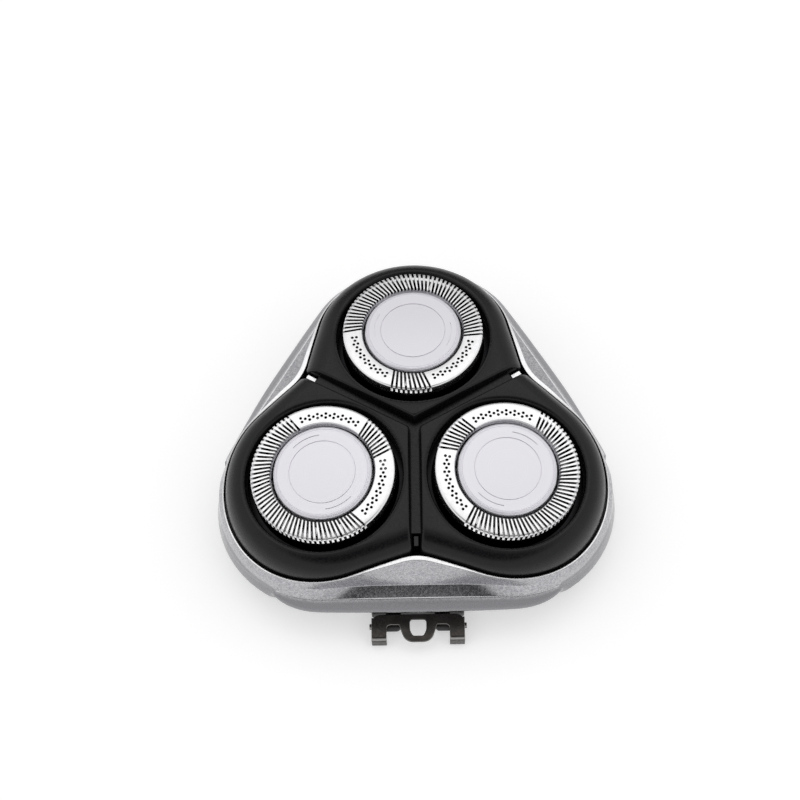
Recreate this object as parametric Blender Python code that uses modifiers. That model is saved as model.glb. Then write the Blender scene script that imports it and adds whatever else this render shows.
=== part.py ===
"""Rotary shaver head: three slotted guards in a gloss plate and a painted frame, with cutters,
retaining frame, lock knob and a swinging hinge clip.

Blender 4.5. Metres, +Z up. The head lies on its rear rim at Z = 0 with the guards up,
and the hinge clip on the -Y side. Sizes below are in millimetres.
"""

import math

import bmesh
import bpy
from mathutils import Matrix, Vector

MM = 0.001
GAP = 0.3                     # clearance between pieces that touch
SINK = 0.6                    # how deep a joined shape runs into the one it joins
PAST = 3.0                    # how far a cutting shape runs past what it cuts
NUDGE = 0.05                  # keeps the faces of joined shapes out of one plane
SMOOTH_ANGLE = 32.0           # edges flatter than this are shaded smooth
EMPTY_SIZE = 4.0

# Layout of the three heads
HEADS = {"top": 90.0, "left": 210.0, "right": 330.0}     # azimuth of each head
GUARD_TURN = {"top": 4.0, "left": 0.0, "right": 6.0}     # how far each guard was turned when fitted
SIDE_AZIMUTHS = (270.0, 150.0, 30.0)                     # middles of the three sides
SIDE_ANGLE = math.radians(60.0)                          # from a head to the middle of a side
HEAD_TILT = 5.0               # each head leans outwards by this, in degrees
CAP_HEIGHT = 17.5             # cap centres above the rear rim

# Guard: a slotted steel cup with a recessed middle
GUARD_RADIUS = 10.9
GUARD_WALL = 0.45
BAND_WIDTH = 2.9              # the slotted band, inside the guard's edge
GUARD_DEPTH = 5.0
RECESS_DEPTH = 1.0
RECESS_WALL = 0.4
OPENING_GAP = 1.0             # ring of air between guard and plate
FLANGE_GRIP = 0.55            # how far the flange reaches under the plate
FLANGE_THICKNESS = 0.7
WALL_DRAFT = 0.15             # how much wider the wall is at its foot
SLOT_WIDTH = 0.3
SLOT_DROP = 1.1               # how far the slots run down the wall
SLOT_START = 0.2              # slots start this far inside the band
SLOT_PITCH = 3.95             # degrees
SLOT_SLANT = 11.0             # degrees off the radius
LONG_ROW_SLOTS = 49
SHORT_ROW_SLOTS = 10
FLOAT_TRAVEL = 1.0            # how far a guard can be pressed in

# Cap: the disc pressed into each guard, with the stem that the cutter runs on
GROOVE_WIDTH = 0.6            # between the cap and the band
GROOVE_FLOOR = 0.15           # flat part of the groove
CAP_THICKNESS = 0.7
CAP_EDGE = 0.2
CAP_DISC_RADIUS = 5.0
CAP_DOME = 0.05
CAP_STEM_RADIUS = 1.3
CAP_STEM_LENGTH = 4.0

# Cutter: a steel ring of blades on a moulded carrier
BLADE_COUNT = 15
BLADE_SIDE_GAP = 0.55         # from a blade's ends to the edges of the band's hollow
BLADE_THICKNESS = 0.45
BLADE_HEIGHT = 2.3
BLADE_RAKE = 20.0             # degrees that a blade leans forwards
BLADE_RING_THICKNESS = 0.5
BLADE_RING_LIP = 0.25         # the ring reaches this far in from the blades
BLADE_SETBACK = 0.1           # and this far out
CARRIER_FLANGE = 0.55
CARRIER_SETBACK = 0.2         # the flange's edge inside the blade ring's
CARRIER_LENGTH = 4.6
CARRIER_SEAT = 0.6            # height of the collar that centres the lifter ring
SOCKET_WIDTH = 3.4
SOCKET_DEPTH = 2.4
SOCKET_WALL = 1.2

# Lifter ring: spring tongues that run ahead of the blades
LIFTER_SIDE_GAP = 0.7         # from the lifters to the ring of blades
LIFTER_WIDTH = 2.6
LIFTER_THICKNESS = 0.3
LIFTER_RISE = 0.15            # underside of the lifters above the top of the blades' ring
TONGUE_LENGTH = 0.6
TONGUE_LIFT = 0.5
TONGUE_LEAD = 0.35            # share of a half pitch that a tongue runs ahead of its blade

# Face plate: three lobes with a Y-shaped channel between them
SEAT_WALL = 1.1               # from a guard's seat to the middle of a channel
LOBE_WALL = 2.4               # from a guard's seat to the rim of its lobe
WAIST_REACH = 3.6             # where two lobes meet at the rim, outside the circle of the heads' axes
PLATE_DROP = 1.3              # plate's top below the cap
PLATE_SKIRT = 3.6             # plate's underside below the shoulders over the guards' flanges
ROLL_WIDTH = 3.15             # width of the rolled edge
ROLL_ANGLES = (0.0, 30.0, 60.0, 90.0)
ARC_POINTS = 9                # on each half of a lobe's arc
RIM_DROP_WAIST = 3.5          # rim below the cap centres at the waist
RIM_DROP_TIP = 7.4            # and at the tip of a lobe
OPENING_BEVEL = 0.35
CHANNEL_TOP = 2.45
CHANNEL_FLOOR = 1.2
CHANNEL_DROP = 2.1            # floor of the channel below the cap centres
STUD_RADIUS = 1.8
LUG_LENGTH = 6.4
LUG_WIDTH = 1.6
LUG_THICKNESS = 0.6

# Outer frame: a painted shell from the lobes' rim down to a rounded triangle
FRAME_LAND = 0.3              # narrow top edge beside the plate
UPPER_WALL_SPREAD = 3.3       # foot of the upper wall outside the waist, at the middle of a side
SHELF_DROP = 8.7              # that foot below the cap centres
SHELF_WIDTH = 2.1
SHELF_RISE = 0.3              # outer edge of the shelf above the foot of the upper wall
CHEEK_WIDTH = 2.05            # a corner's reach beyond the tip of its lobe
CHEEK_INSET = 0.85            # crease of a corner's cheek inside the triangle
CHEEK_FLANK_DROP = 7.2        # that crease below the cap centres, beside the corner
CHEEK_TIP_DROP = 9.1          # and at the corner's tip
WALL_LEAN = (0.45, 0.15)      # two levels of a corner's wall inside its foot
WALL_DROPS = (10.6, 12.0)     # and below the cap centres
SHELF_BLEND = (12.0, 36.0)    # degrees off the side where the shelf narrows into the cheek
CORNER_BLEND = (38.0, 60.0)   # where the cheek falls towards the corner's tip
NOTCH_BLEND = (33.0, 35.0)    # where the lip ends at the corner's wall
BULGE = 1.75                  # how far the lower lip stands out at the middle of a side
BULGE_HALF_ANGLE = 36.0
BULGE_DROP = 10.8
LIP_STEP = 0.35               # lip's widest line below its upper edge, at its ends
LIP_HEIGHT = 2.3              # from the widest line down to the lower wall
LIP_FOOT_INSET = 1.1
LIP_FOOT_SHARE = 0.6          # share of the bulge that is left at the lip's foot
WALL = 1.6
RIM_INSET = 2.2               # rear rim inside the triangle
INNER_WALL_SHARE = 0.6        # wall's share of thickness where the inside turns in
INNER_WALL_RISE = 1.5
LEDGE_INSET = 1.2             # inner ledge that the plate sits on, inside the lobes' outline
LEDGE_THICKNESS = 1.6
RIB_START = 2.3               # locating rib in the end of each channel, inside the waist
RIB_END = 0.5
RIB_DROP = 2.6                # its top below the cap centres
CATCH_WIDTH = 7.0             # ledge inside the top corner, where the shaver's latch holds the head
CATCH_REACH = 2.1
CATCH_BOTTOM = 1.0
CATCH_TOP = 2.6
FRAME_POINTS = 60

# Facets of the turned pieces, once round
GUARD_STEPS = 24
CAP_STEPS = 20
CUTTER_STEPS = 16
OPENING_STEPS = 30
RETAINER_STEPS = 20
PIN_STEPS = 16

# Retaining frame and lock knob
RETAINER_INSET = 0.65         # edge of its rings inside the guards' flanges
RETAINER_WIDTH = 3.2
RETAINER_THICKNESS = 1.0
RETAINER_RIB = 0.5            # step on the rings' underside
RETAINER_RIM = 1.0
TAB_WIDTH = 4.0
TAB_DROP = 0.2
HUB_DROP = 6.5                # hub's top below the cap centres
HUB_OVERLAP = 1.0             # how far the rings run into the hub
HUB_HEIGHT = 2.4
KNOB_RIM = 3.0                # knob's edge outside the stud's lugs
KNOB_THICKNESS = 2.0
KNOB_BEVEL = 0.3
GRIP_WIDTH = 1.8
GRIP_HEIGHT = 1.3
GRIP_INSET = 0.9              # grips' outer ends inside the knob's edge
GRIP_WALL = 0.3               # between a grip and the assembly slot

# Hinge: block, pin, clip and screws on the -Y side
HINGE_WIDTH = 14.2
BLOCK_BOTTOM = 0.25           # above the rear rim
BLOCK_HEIGHT = 2.45
BLOCK_DEPTH = 7.2
BLOCK_WALL = 0.7              # beside the screws' heads
BLOCK_BEVEL = 0.25
PIN_RADIUS = 0.45
PIN_CLEARANCE = 0.1
PIN_NUB = 0.35
PIN_SETBACK = 1.7             # pin in front of the block
KNUCKLE_WALL = 0.25
KNUCKLE_WIDTH = 2.3
KNUCKLE_OFFSET = 3.75
KNUCKLE_POINTS = 8
SHEET = 0.45
CLIP_DEPTH = 4.1
CLIP_CORNER = 1.5
LEG_WIDTH = 2.25
LEG_FILLET = 0.7
FOOT_CLEARANCE = 0.05         # under the clip's feet
EAR_MARGIN = 0.15             # ears stand out round the knuckles by this
BRIDGE_DEPTH = 1.7
TONGUE_HOLE = 2.6
TONGUE_SHOULDER = 2.8         # tongue's width at its root beyond the hole
TONGUE_MARGIN = 0.4           # and at its tip
TONGUE_CORNER = 0.8
TONGUE_STEP = 0.3             # tongue's tip in front of the legs
SCREW_RADIUS = 0.8
SCREW_LENGTH = 4.6
SCREW_TIP_RADIUS = 0.5
SCREW_HEAD_RADIUS = 1.6
SCREW_HEAD_HEIGHT = 0.8
SCREW_HEAD_BEVEL = 0.25
CROSS_LENGTH = 1.8
CROSS_WIDTH = 0.4
CROSS_DEPTH = 0.4
BOSS_WALL = 0.9

# Sizes that follow from the ones above
FLANGE_RADIUS = GUARD_RADIUS + OPENING_GAP + FLANGE_GRIP
SEAT_RADIUS = FLANGE_RADIUS + GAP
SEAT_DROP = GUARD_DEPTH - FLANGE_THICKNESS - GAP
OPENING_RADIUS = GUARD_RADIUS + OPENING_GAP
BAND_INNER_RADIUS = GUARD_RADIUS - BAND_WIDTH
CAP_RADIUS = BAND_INNER_RADIUS - GROOVE_WIDTH
BLADE_OUTER_RADIUS = GUARD_RADIUS - GUARD_WALL - BLADE_SIDE_GAP
BLADE_INNER_RADIUS = BAND_INNER_RADIUS + BLADE_SIDE_GAP
BLADE_RING_INNER = BLADE_INNER_RADIUS - BLADE_RING_LIP
LIFTER_OUTER_RADIUS = BLADE_RING_INNER - LIFTER_SIDE_GAP
LIFTER_INNER_RADIUS = LIFTER_OUTER_RADIUS - LIFTER_WIDTH
CARRIER_HUB_RADIUS = SOCKET_WIDTH / math.sqrt(2.0) + SOCKET_WALL
HEAD_PITCH = (SEAT_RADIUS + SEAT_WALL) / math.sin(SIDE_ANGLE)
LOBE_RADIUS = SEAT_RADIUS + LOBE_WALL
WAIST_RADIUS = HEAD_PITCH + WAIST_REACH
PLATE_DEPTH = SEAT_DROP + PLATE_SKIRT
PLATE_UNDERSIDE = CAP_HEIGHT - PLATE_DEPTH
CHANNEL_HEIGHT = CAP_HEIGHT - CHANNEL_DROP
LEDGE_TOP = PLATE_UNDERSIDE - GAP
HUB_TOP = CAP_HEIGHT - HUB_DROP
HUB_UNDERSIDE = HUB_TOP - HUB_HEIGHT
KNOB_TOP = HUB_UNDERSIDE - GAP
KNOB_UNDERSIDE = KNOB_TOP - KNOB_THICKNESS
STUD_FOOT = KNOB_UNDERSIDE - GAP - LUG_THICKNESS
KNOB_RADIUS = LUG_LENGTH / 2.0 + KNOB_RIM
RETAINER_DROP = GUARD_DEPTH + FLOAT_TRAVEL + GAP
RETAINER_OUTER_RADIUS = FLANGE_RADIUS - RETAINER_INSET
RETAINER_INNER_RADIUS = RETAINER_OUTER_RADIUS - RETAINER_WIDTH
HUB_RADIUS = HEAD_PITCH - RETAINER_OUTER_RADIUS + HUB_OVERLAP
SHELF_RADIUS = WAIST_RADIUS + UPPER_WALL_SPREAD
SIDE_REACH = SHELF_RADIUS + SHELF_WIDTH
CORNER_REACH = HEAD_PITCH + LOBE_RADIUS + CHEEK_WIDTH
TRIANGLE_CORNER_PITCH = 2.0 * (CORNER_REACH - SIDE_REACH)
TRIANGLE_CORNER_RADIUS = CORNER_REACH - TRIANGLE_CORNER_PITCH
RIM_INNER_REACH = CORNER_REACH - RIM_INSET - WALL
BLOCK_TOP = BLOCK_BOTTOM + BLOCK_HEIGHT
BLOCK_FRONT = SIDE_REACH
BLOCK_BACK = BLOCK_FRONT - BLOCK_DEPTH
PIN_BORE = PIN_RADIUS + PIN_CLEARANCE
KNUCKLE_RADIUS = PIN_BORE + KNUCKLE_WALL
PIN_HEIGHT = KNUCKLE_RADIUS + GAP
PIN_REACH = BLOCK_FRONT + PIN_SETBACK
SCREW_OFFSET = HINGE_WIDTH / 2.0 - BLOCK_WALL - SCREW_HEAD_RADIUS - GAP
SCREW_REACH = BLOCK_BACK + GAP + BLOCK_WALL + SCREW_HEAD_RADIUS + GAP
HEAD_WELL_TOP = BLOCK_BOTTOM + SCREW_HEAD_HEIGHT + GAP
CLIP_RISE = KNUCKLE_RADIUS + GAP                         # underside of the clip's plate above the pin
CLIP_BACK = BLOCK_FRONT + GAP
CLIP_FRONT = CLIP_BACK + CLIP_DEPTH
TONGUE_REACH = CLIP_FRONT + TONGUE_STEP

# The model's origin is under the middle of its outline, and the heads' common axis stands beside it
AXIS_Y = (TONGUE_REACH - CORNER_REACH) / 2.0

MATERIALS = {
    "silver_paint": ((0.45, 0.46, 0.47), 0.38, 0.6),
    "black_gloss": ((0.012, 0.012, 0.014), 0.12, 0.0),
    "polished_steel": ((0.78, 0.78, 0.79), 0.16, 1.0),
    "brushed_cap": ((0.74, 0.74, 0.76), 0.32, 1.0),
    "blade_steel": ((0.62, 0.62, 0.63), 0.25, 1.0),
    "carrier_plastic": ((0.72, 0.73, 0.72), 0.5, 0.0),
    "retainer_plastic": ((0.05, 0.05, 0.055), 0.45, 0.0),
    "knob_plastic": ((0.32, 0.33, 0.34), 0.45, 0.0),
    "hinge_plastic": ((0.02, 0.02, 0.02), 0.4, 0.0),
    "spring_steel": ((0.2, 0.18, 0.17), 0.3, 1.0),
    "screw_steel": ((0.5, 0.5, 0.5), 0.35, 1.0),
}


def clear_scene():
    for obj in list(bpy.data.objects):
        bpy.data.objects.remove(obj)


def collection(name):
    group = bpy.data.collections.new(name)
    bpy.context.scene.collection.children.link(group)
    return group


def material(name):
    colour, roughness, metallic = MATERIALS[name]
    mat = bpy.data.materials.get(name) or bpy.data.materials.new(name)
    mat.use_nodes = True
    shader = mat.node_tree.nodes["Principled BSDF"]
    shader.inputs["Base Color"].default_value = (*colour, 1.0)
    shader.inputs["Roughness"].default_value = roughness
    shader.inputs["Metallic"].default_value = metallic
    return mat


def add_object(name, mesh, group, parent=None, mat=None):
    obj = bpy.data.objects.new(name, mesh)
    group.objects.link(obj)
    if parent:
        obj.parent = parent
    if mat:
        mesh.materials.clear()
        mesh.materials.append(material(mat))
    return obj


def guide(obj):
    """A cutting shape or one that is joined into another: it is left out of the model."""
    obj.hide_render = True
    obj.display_type = "WIRE"
    return obj


def empty(name, location, rotation=(0.0, 0.0, 0.0), parent=None):
    obj = bpy.data.objects.new(name, None)
    obj.empty_display_size = EMPTY_SIZE * MM
    obj.location = Vector(location) * MM
    obj.rotation_euler = [math.radians(angle) for angle in rotation]
    obj.parent = parent
    PARTS.objects.link(obj)
    return obj


def shade(mesh):
    mesh.shade_smooth()
    mesh.set_sharp_from_angle(angle=math.radians(SMOOTH_ANGLE))
    return mesh


def mesh_from(name, build):
    """A mesh in metres of what the function build adds, in millimetres, to an empty bmesh."""
    bm = bmesh.new()
    build(bm)
    bmesh.ops.recalc_face_normals(bm, faces=bm.faces)
    bmesh.ops.scale(bm, vec=(MM, MM, MM), verts=bm.verts)
    mesh = bpy.data.meshes.new(name)
    bm.to_mesh(mesh)
    bm.free()
    return shade(mesh)


def turned(name, profile, steps, group, parent=None, mat=None, closed=True):
    """A profile of (radius, height) points turned round Z. A closed one leaves a hole in the middle."""
    mesh = bpy.data.meshes.new(name)
    points = [(radius * MM, 0.0, height * MM) for radius, height in profile]
    edges = [(i, i + 1) for i in range(len(points) - 1)]
    if closed:
        edges.append((len(points) - 1, 0))
    mesh.from_pydata(points, edges, [])
    obj = add_object(name, mesh, group, parent, mat)
    screw = obj.modifiers.new("Turn", "SCREW")
    screw.axis = "Z"
    screw.angle = 2.0 * math.pi
    screw.steps = steps
    screw.render_steps = steps
    screw.use_merge_vertices = True
    screw.merge_threshold = 0.00002
    screw.use_smooth_shade = False
    return obj


def box_mesh(bm, low, high, matrix=None):
    """Adds a box between two corners to the bmesh."""
    low = Vector(low)
    high = Vector(high)
    place = Matrix.Translation((low + high) / 2.0) @ Matrix.Diagonal((*(high - low), 1.0))
    if matrix:
        place = matrix @ place
    bmesh.ops.create_cube(bm, size=1.0, matrix=place)


def rod_mesh(bm, radius, start, end, segments=PIN_STEPS):
    """Adds a capped cylinder between two points to the bmesh."""
    start = Vector(start)
    end = Vector(end)
    line = end - start
    turn = line.to_track_quat("Z", "Y").to_matrix().to_4x4()
    place = Matrix.Translation((start + end) / 2.0) @ turn
    bmesh.ops.create_cone(bm, cap_ends=True, segments=segments, radius1=radius, radius2=radius,
                          depth=line.length, matrix=place)


def boolean(obj, tool, operation):
    modifier = obj.modifiers.new(tool.name, "BOOLEAN")
    modifier.operation = operation
    modifier.solver = "EXACT"
    modifier.object = tool
    return modifier


def join(obj, name, build, parent=None):
    """Unites the object with the shape that the function build makes."""
    boolean(obj, guide(add_object(name, mesh_from(name, build), CUTTERS, parent)), "UNION")


def cut(obj, name, build, parent=None):
    """Cuts the shape that the function build makes out of the object."""
    boolean(obj, guide(add_object(name, mesh_from(name, build), CUTTERS, parent)), "DIFFERENCE")


def applied(obj):
    """Applies the object's modifiers to its mesh, so that its copies can share it."""
    bpy.context.view_layer.update()
    depsgraph = bpy.context.evaluated_depsgraph_get()
    mesh = bpy.data.meshes.new_from_object(obj.evaluated_get(depsgraph))
    obj.modifiers.clear()
    obj.data = shade(mesh)
    return obj


def copies(obj, name, parents, turns=None):
    """Puts the object on the first parent and a copy that shares its mesh on each of the others."""
    for index, (head, parent) in enumerate(parents.items()):
        item = obj if index == 0 else bpy.data.objects.new(name, obj.data)
        item.name = f"{name}_{head}"
        if index:
            PARTS.objects.link(item)
        item.parent = parent
        if turns:
            item.rotation_euler = (0.0, 0.0, math.radians(turns[head]))


def loft(bm, rings, closed_loop):
    """Joins rings of as many points each. Without closed_loop the first and last ring are capped."""
    rows = [[bm.verts.new(point) for point in ring] for ring in rings]
    pairs = list(zip(rows[:-1], rows[1:]))
    if closed_loop:
        pairs.append((rows[-1], rows[0]))
    else:
        bm.faces.new(list(reversed(rows[0])))
        bm.faces.new(rows[-1])
    count = len(rows[0])
    for lower, upper in pairs:
        for i in range(count):
            j = (i + 1) % count
            bm.faces.new((lower[i], lower[j], upper[j], upper[i]))


def smooth_step(value, limits):
    """0 below the lower limit, 1 above the upper one, and smooth between them."""
    low, high = limits
    share = min(1.0, max(0.0, (value - low) / (high - low)))
    return share * share * (3.0 - 2.0 * share)


def corner_arc(centre, radius, start, end, pieces):
    """Points (x, y) on an arc, from one angle in degrees to another."""
    angles = [math.radians(start + (end - start) * i / pieces) for i in range(pieces + 1)]
    return [(centre[0] + radius * math.cos(angle), centre[1] + radius * math.sin(angle)) for angle in angles]


# Outline of the lobes, in plan. A lobe is an arc round its head's axis with a tangent to each waist.

def tangent_angle():
    """Angle, at a head's axis, where the lobe's arc ends and the straight run to the waist starts."""
    waist = Vector((math.cos(SIDE_ANGLE), math.sin(SIDE_ANGLE))) * WAIST_RADIUS
    from_axis = waist - Vector((HEAD_PITCH, 0.0))
    return math.atan2(from_axis.y, from_axis.x) - math.acos(LOBE_RADIUS / from_axis.length)


def lobes_radius(off_head, offset=0.0):
    """Distance from the middle of the unit to the lobes' outline, off_head degrees from a head."""
    angle = math.radians(off_head)
    turn = tangent_angle()
    radius = LOBE_RADIUS + offset
    tangent_point = Vector((HEAD_PITCH + radius * math.cos(turn), radius * math.sin(turn)))
    if angle > math.atan2(tangent_point.y, tangent_point.x):
        return (HEAD_PITCH * math.cos(turn) + radius) / math.cos(angle - turn)
    return HEAD_PITCH * math.cos(angle) + math.sqrt(radius ** 2 - (HEAD_PITCH * math.sin(angle)) ** 2)


def triangle_radius(off_head):
    """Distance from the middle of the unit to the rounded triangle that the frame widens to."""
    angle = math.radians(off_head)
    touch = Vector((TRIANGLE_CORNER_PITCH + TRIANGLE_CORNER_RADIUS * math.cos(SIDE_ANGLE),
                    TRIANGLE_CORNER_RADIUS * math.sin(SIDE_ANGLE)))
    if angle > math.atan2(touch.y, touch.x):
        return SIDE_REACH / math.cos(SIDE_ANGLE - angle)
    across = TRIANGLE_CORNER_PITCH * math.sin(angle)
    return TRIANGLE_CORNER_PITCH * math.cos(angle) + math.sqrt(TRIANGLE_CORNER_RADIUS ** 2 - across ** 2)


def rim_height(along):
    """Height of the rim between plate and frame, by its distance along the nearest head's azimuth."""
    waist_along = WAIST_RADIUS * math.cos(SIDE_ANGLE)
    tip_along = HEAD_PITCH + LOBE_RADIUS
    share = max(0.0, along - waist_along) / (tip_along - waist_along)
    return CAP_HEIGHT - RIM_DROP_WAIST - share * share * (RIM_DROP_TIP - RIM_DROP_WAIST)


def plate_height(along):
    """Height of a lobe's flat top, which is square to its head's axis."""
    return CAP_HEIGHT - PLATE_DROP - (along - HEAD_PITCH) * math.tan(math.radians(HEAD_TILT))


def lobe_ring(roll_angle):
    """One outline of a lobe at azimuth 0, as points, from the rim (0 degrees) to the flat top (90)."""
    roll = 1.0 - math.cos(math.radians(roll_angle))
    rise = math.sin(math.radians(roll_angle))
    radius = LOBE_RADIUS - roll * ROLL_WIDTH
    half_gap = (CHANNEL_FLOOR + roll * (CHANNEL_TOP - CHANNEL_FLOOR)) / 2.0
    turn = tangent_angle()
    half = []
    for i in range(ARC_POINTS + 1):
        angle = turn * i / ARC_POINTS
        half.append((Vector((HEAD_PITCH + radius * math.cos(angle), radius * math.sin(angle))), False))
    normal = Vector((math.cos(turn), math.sin(turn)))
    along = Vector((-normal.y, normal.x))
    across = Vector((-math.sin(SIDE_ANGLE), math.cos(SIDE_ANGLE)))
    touch = half[-1][0]
    reach = (-half_gap - touch.dot(across)) / along.dot(across)
    corner = touch + along * reach
    middle = Vector((half_gap / math.sin(SIDE_ANGLE), 0.0))
    half.append((touch.lerp(corner, 0.5), False))
    half.append((corner, False))
    half.append((corner.lerp(middle, 0.5), True))
    ring = [(Vector((point.x, -point.y)), beside_channel) for point, beside_channel in half[1:]]
    ring.reverse()
    ring = ring + half
    ring.append((middle, True))
    points = []
    for point, beside_channel in ring:
        foot = CHANNEL_HEIGHT if beside_channel else rim_height(point.x)
        points.append((point.x, point.y, foot + (plate_height(point.x) - foot) * rise))
    return points


def build_face_plate():
    def lobe(bm):
        base = [(x, y, PLATE_UNDERSIDE) for x, y, z in lobe_ring(ROLL_ANGLES[0])]
        loft(bm, [base] + [lobe_ring(angle) for angle in ROLL_ANGLES], False)

    lobes = []
    for head, azimuth in HEADS.items():
        piece = add_object(f"lobe_{head}", mesh_from("lobe", lobe), CUTTERS, UNIT)
        piece.rotation_euler = (0.0, 0.0, math.radians(azimuth))
        lobes.append(piece)
    plate = lobes[0]
    for piece in lobes[1:]:
        boolean(plate, guide(piece), "UNION")

    # The three arms of the channel's floor meet in the middle, so they are joined one by one
    half = CHANNEL_FLOOR / 2.0 + SINK
    arm_end = WAIST_RADIUS - RIB_START - GAP
    for index, azimuth in enumerate(SIDE_AZIMUTHS):
        turn = Matrix.Rotation(math.radians(azimuth), 4, "Z")
        join(plate, f"channel_floor_{index}", lambda bm: box_mesh(
            bm, (-SINK, -half, PLATE_UNDERSIDE + GAP), (arm_end, half, CHANNEL_HEIGHT), turn), UNIT)

    cut(plate, "hub_recess", lambda bm: rod_mesh(
        bm, HUB_RADIUS + GAP, (0.0, 0.0, PLATE_UNDERSIDE - PAST), (0.0, 0.0, HUB_TOP + GAP),
        OPENING_STEPS), UNIT)
    join(plate, "stud", lambda bm: rod_mesh(
        bm, STUD_RADIUS, (0.0, 0.0, STUD_FOOT), (0.0, 0.0, HUB_TOP + GAP + SINK)), UNIT)
    join(plate, "lugs", lambda bm: box_mesh(
        bm, (-LUG_LENGTH / 2.0, -LUG_WIDTH / 2.0, STUD_FOOT - NUDGE),
        (LUG_LENGTH / 2.0, LUG_WIDTH / 2.0, STUD_FOOT + LUG_THICKNESS)), UNIT)

    mouth = OPENING_RADIUS + 2.0 * OPENING_BEVEL
    foot = -PLATE_DEPTH - PAST
    profile = [(0.0, PAST), (mouth, PAST), (mouth, OPENING_BEVEL - PLATE_DROP),
               (OPENING_RADIUS, -OPENING_BEVEL - PLATE_DROP), (OPENING_RADIUS, -SEAT_DROP),
               (SEAT_RADIUS, -SEAT_DROP), (SEAT_RADIUS, foot), (0.0, foot)]
    for head, axis in AXES.items():
        bore = turned(f"opening_{head}", profile, OPENING_STEPS, CUTTERS, axis, closed=False)
        boolean(plate, guide(bore), "DIFFERENCE")

    CUTTERS.objects.unlink(plate)
    PARTS.objects.link(plate)
    plate.name = "face_plate"
    plate.data.materials.append(material("black_gloss"))


def blend(share, at_side, at_corner):
    return at_side + share * (at_corner - at_side)


def frame_section(azimuth):
    """The frame's section at one azimuth, as points from its inner top edge round and back."""
    off_head = min(abs((azimuth - head + 180.0) % 360.0 - 180.0) for head in HEADS.values())
    off_side = math.degrees(SIDE_ANGLE) - off_head
    lobes = lobes_radius(off_head)
    inner_top = lobes_radius(off_head, GAP)
    outer_top = lobes_radius(off_head, GAP + FRAME_LAND)
    triangle = triangle_radius(off_head)
    rim = rim_height(lobes * math.cos(math.radians(off_head)))

    # Foot of the upper wall. At a corner it is the crease between the cheek and the lower wall.
    cheek_share = smooth_step(off_side, SHELF_BLEND)
    shelf = CAP_HEIGHT - SHELF_DROP
    cheek = CAP_HEIGHT - blend(smooth_step(off_side, CORNER_BLEND), CHEEK_FLANK_DROP, CHEEK_TIP_DROP)
    crease = blend(cheek_share, SHELF_RADIUS / math.cos(math.radians(off_side)), triangle - CHEEK_INSET)
    crease_height = blend(cheek_share, shelf, cheek)

    # Shelf's edge and the lip that bulges out under it. At a corner both lie on the lower wall.
    wall_share = smooth_step(off_side, NOTCH_BLEND)
    within = max(0.0, 1.0 - (off_side / BULGE_HALF_ANGLE) ** 2)
    edge_height = shelf + SHELF_RISE
    edge = blend(wall_share, triangle, triangle - WALL_LEAN[0])
    lip = blend(wall_share, triangle + BULGE * within, triangle - WALL_LEAN[1])
    lip_height = edge_height - LIP_STEP - within * (BULGE_DROP - SHELF_DROP + SHELF_RISE - LIP_STEP)
    lip_foot = CAP_HEIGHT - BULGE_DROP - LIP_HEIGHT
    foot_at_side = triangle - LIP_FOOT_INSET + LIP_FOOT_SHARE * BULGE * within

    rear_rim = triangle - RIM_INSET
    section = [(inner_top, rim), (outer_top, rim), (crease, crease_height),
               (edge, blend(wall_share, edge_height, CAP_HEIGHT - WALL_DROPS[0])),
               (lip, blend(wall_share, lip_height, CAP_HEIGHT - WALL_DROPS[1])),
               (blend(wall_share, foot_at_side, triangle), lip_foot),
               (rear_rim, 0.0), (rear_rim - WALL, 0.0),
               (rear_rim - INNER_WALL_SHARE * WALL, lip_foot + INNER_WALL_RISE),
               (lobes - LEDGE_INSET, LEDGE_TOP - LEDGE_THICKNESS), (lobes - LEDGE_INSET, LEDGE_TOP),
               (inner_top, LEDGE_TOP)]
    direction = Vector((math.cos(math.radians(azimuth)), math.sin(math.radians(azimuth)), 0.0))
    return [direction * radius + Vector((0.0, 0.0, height)) for radius, height in section]


def screw_axes(bm, radius, low, high):
    """Adds a rod on the axis of each of the two hinge screws."""
    for side in (-1.0, 1.0):
        x = side * SCREW_OFFSET
        rod_mesh(bm, radius, (x, -SCREW_REACH, low), (x, -SCREW_REACH, high))


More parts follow.
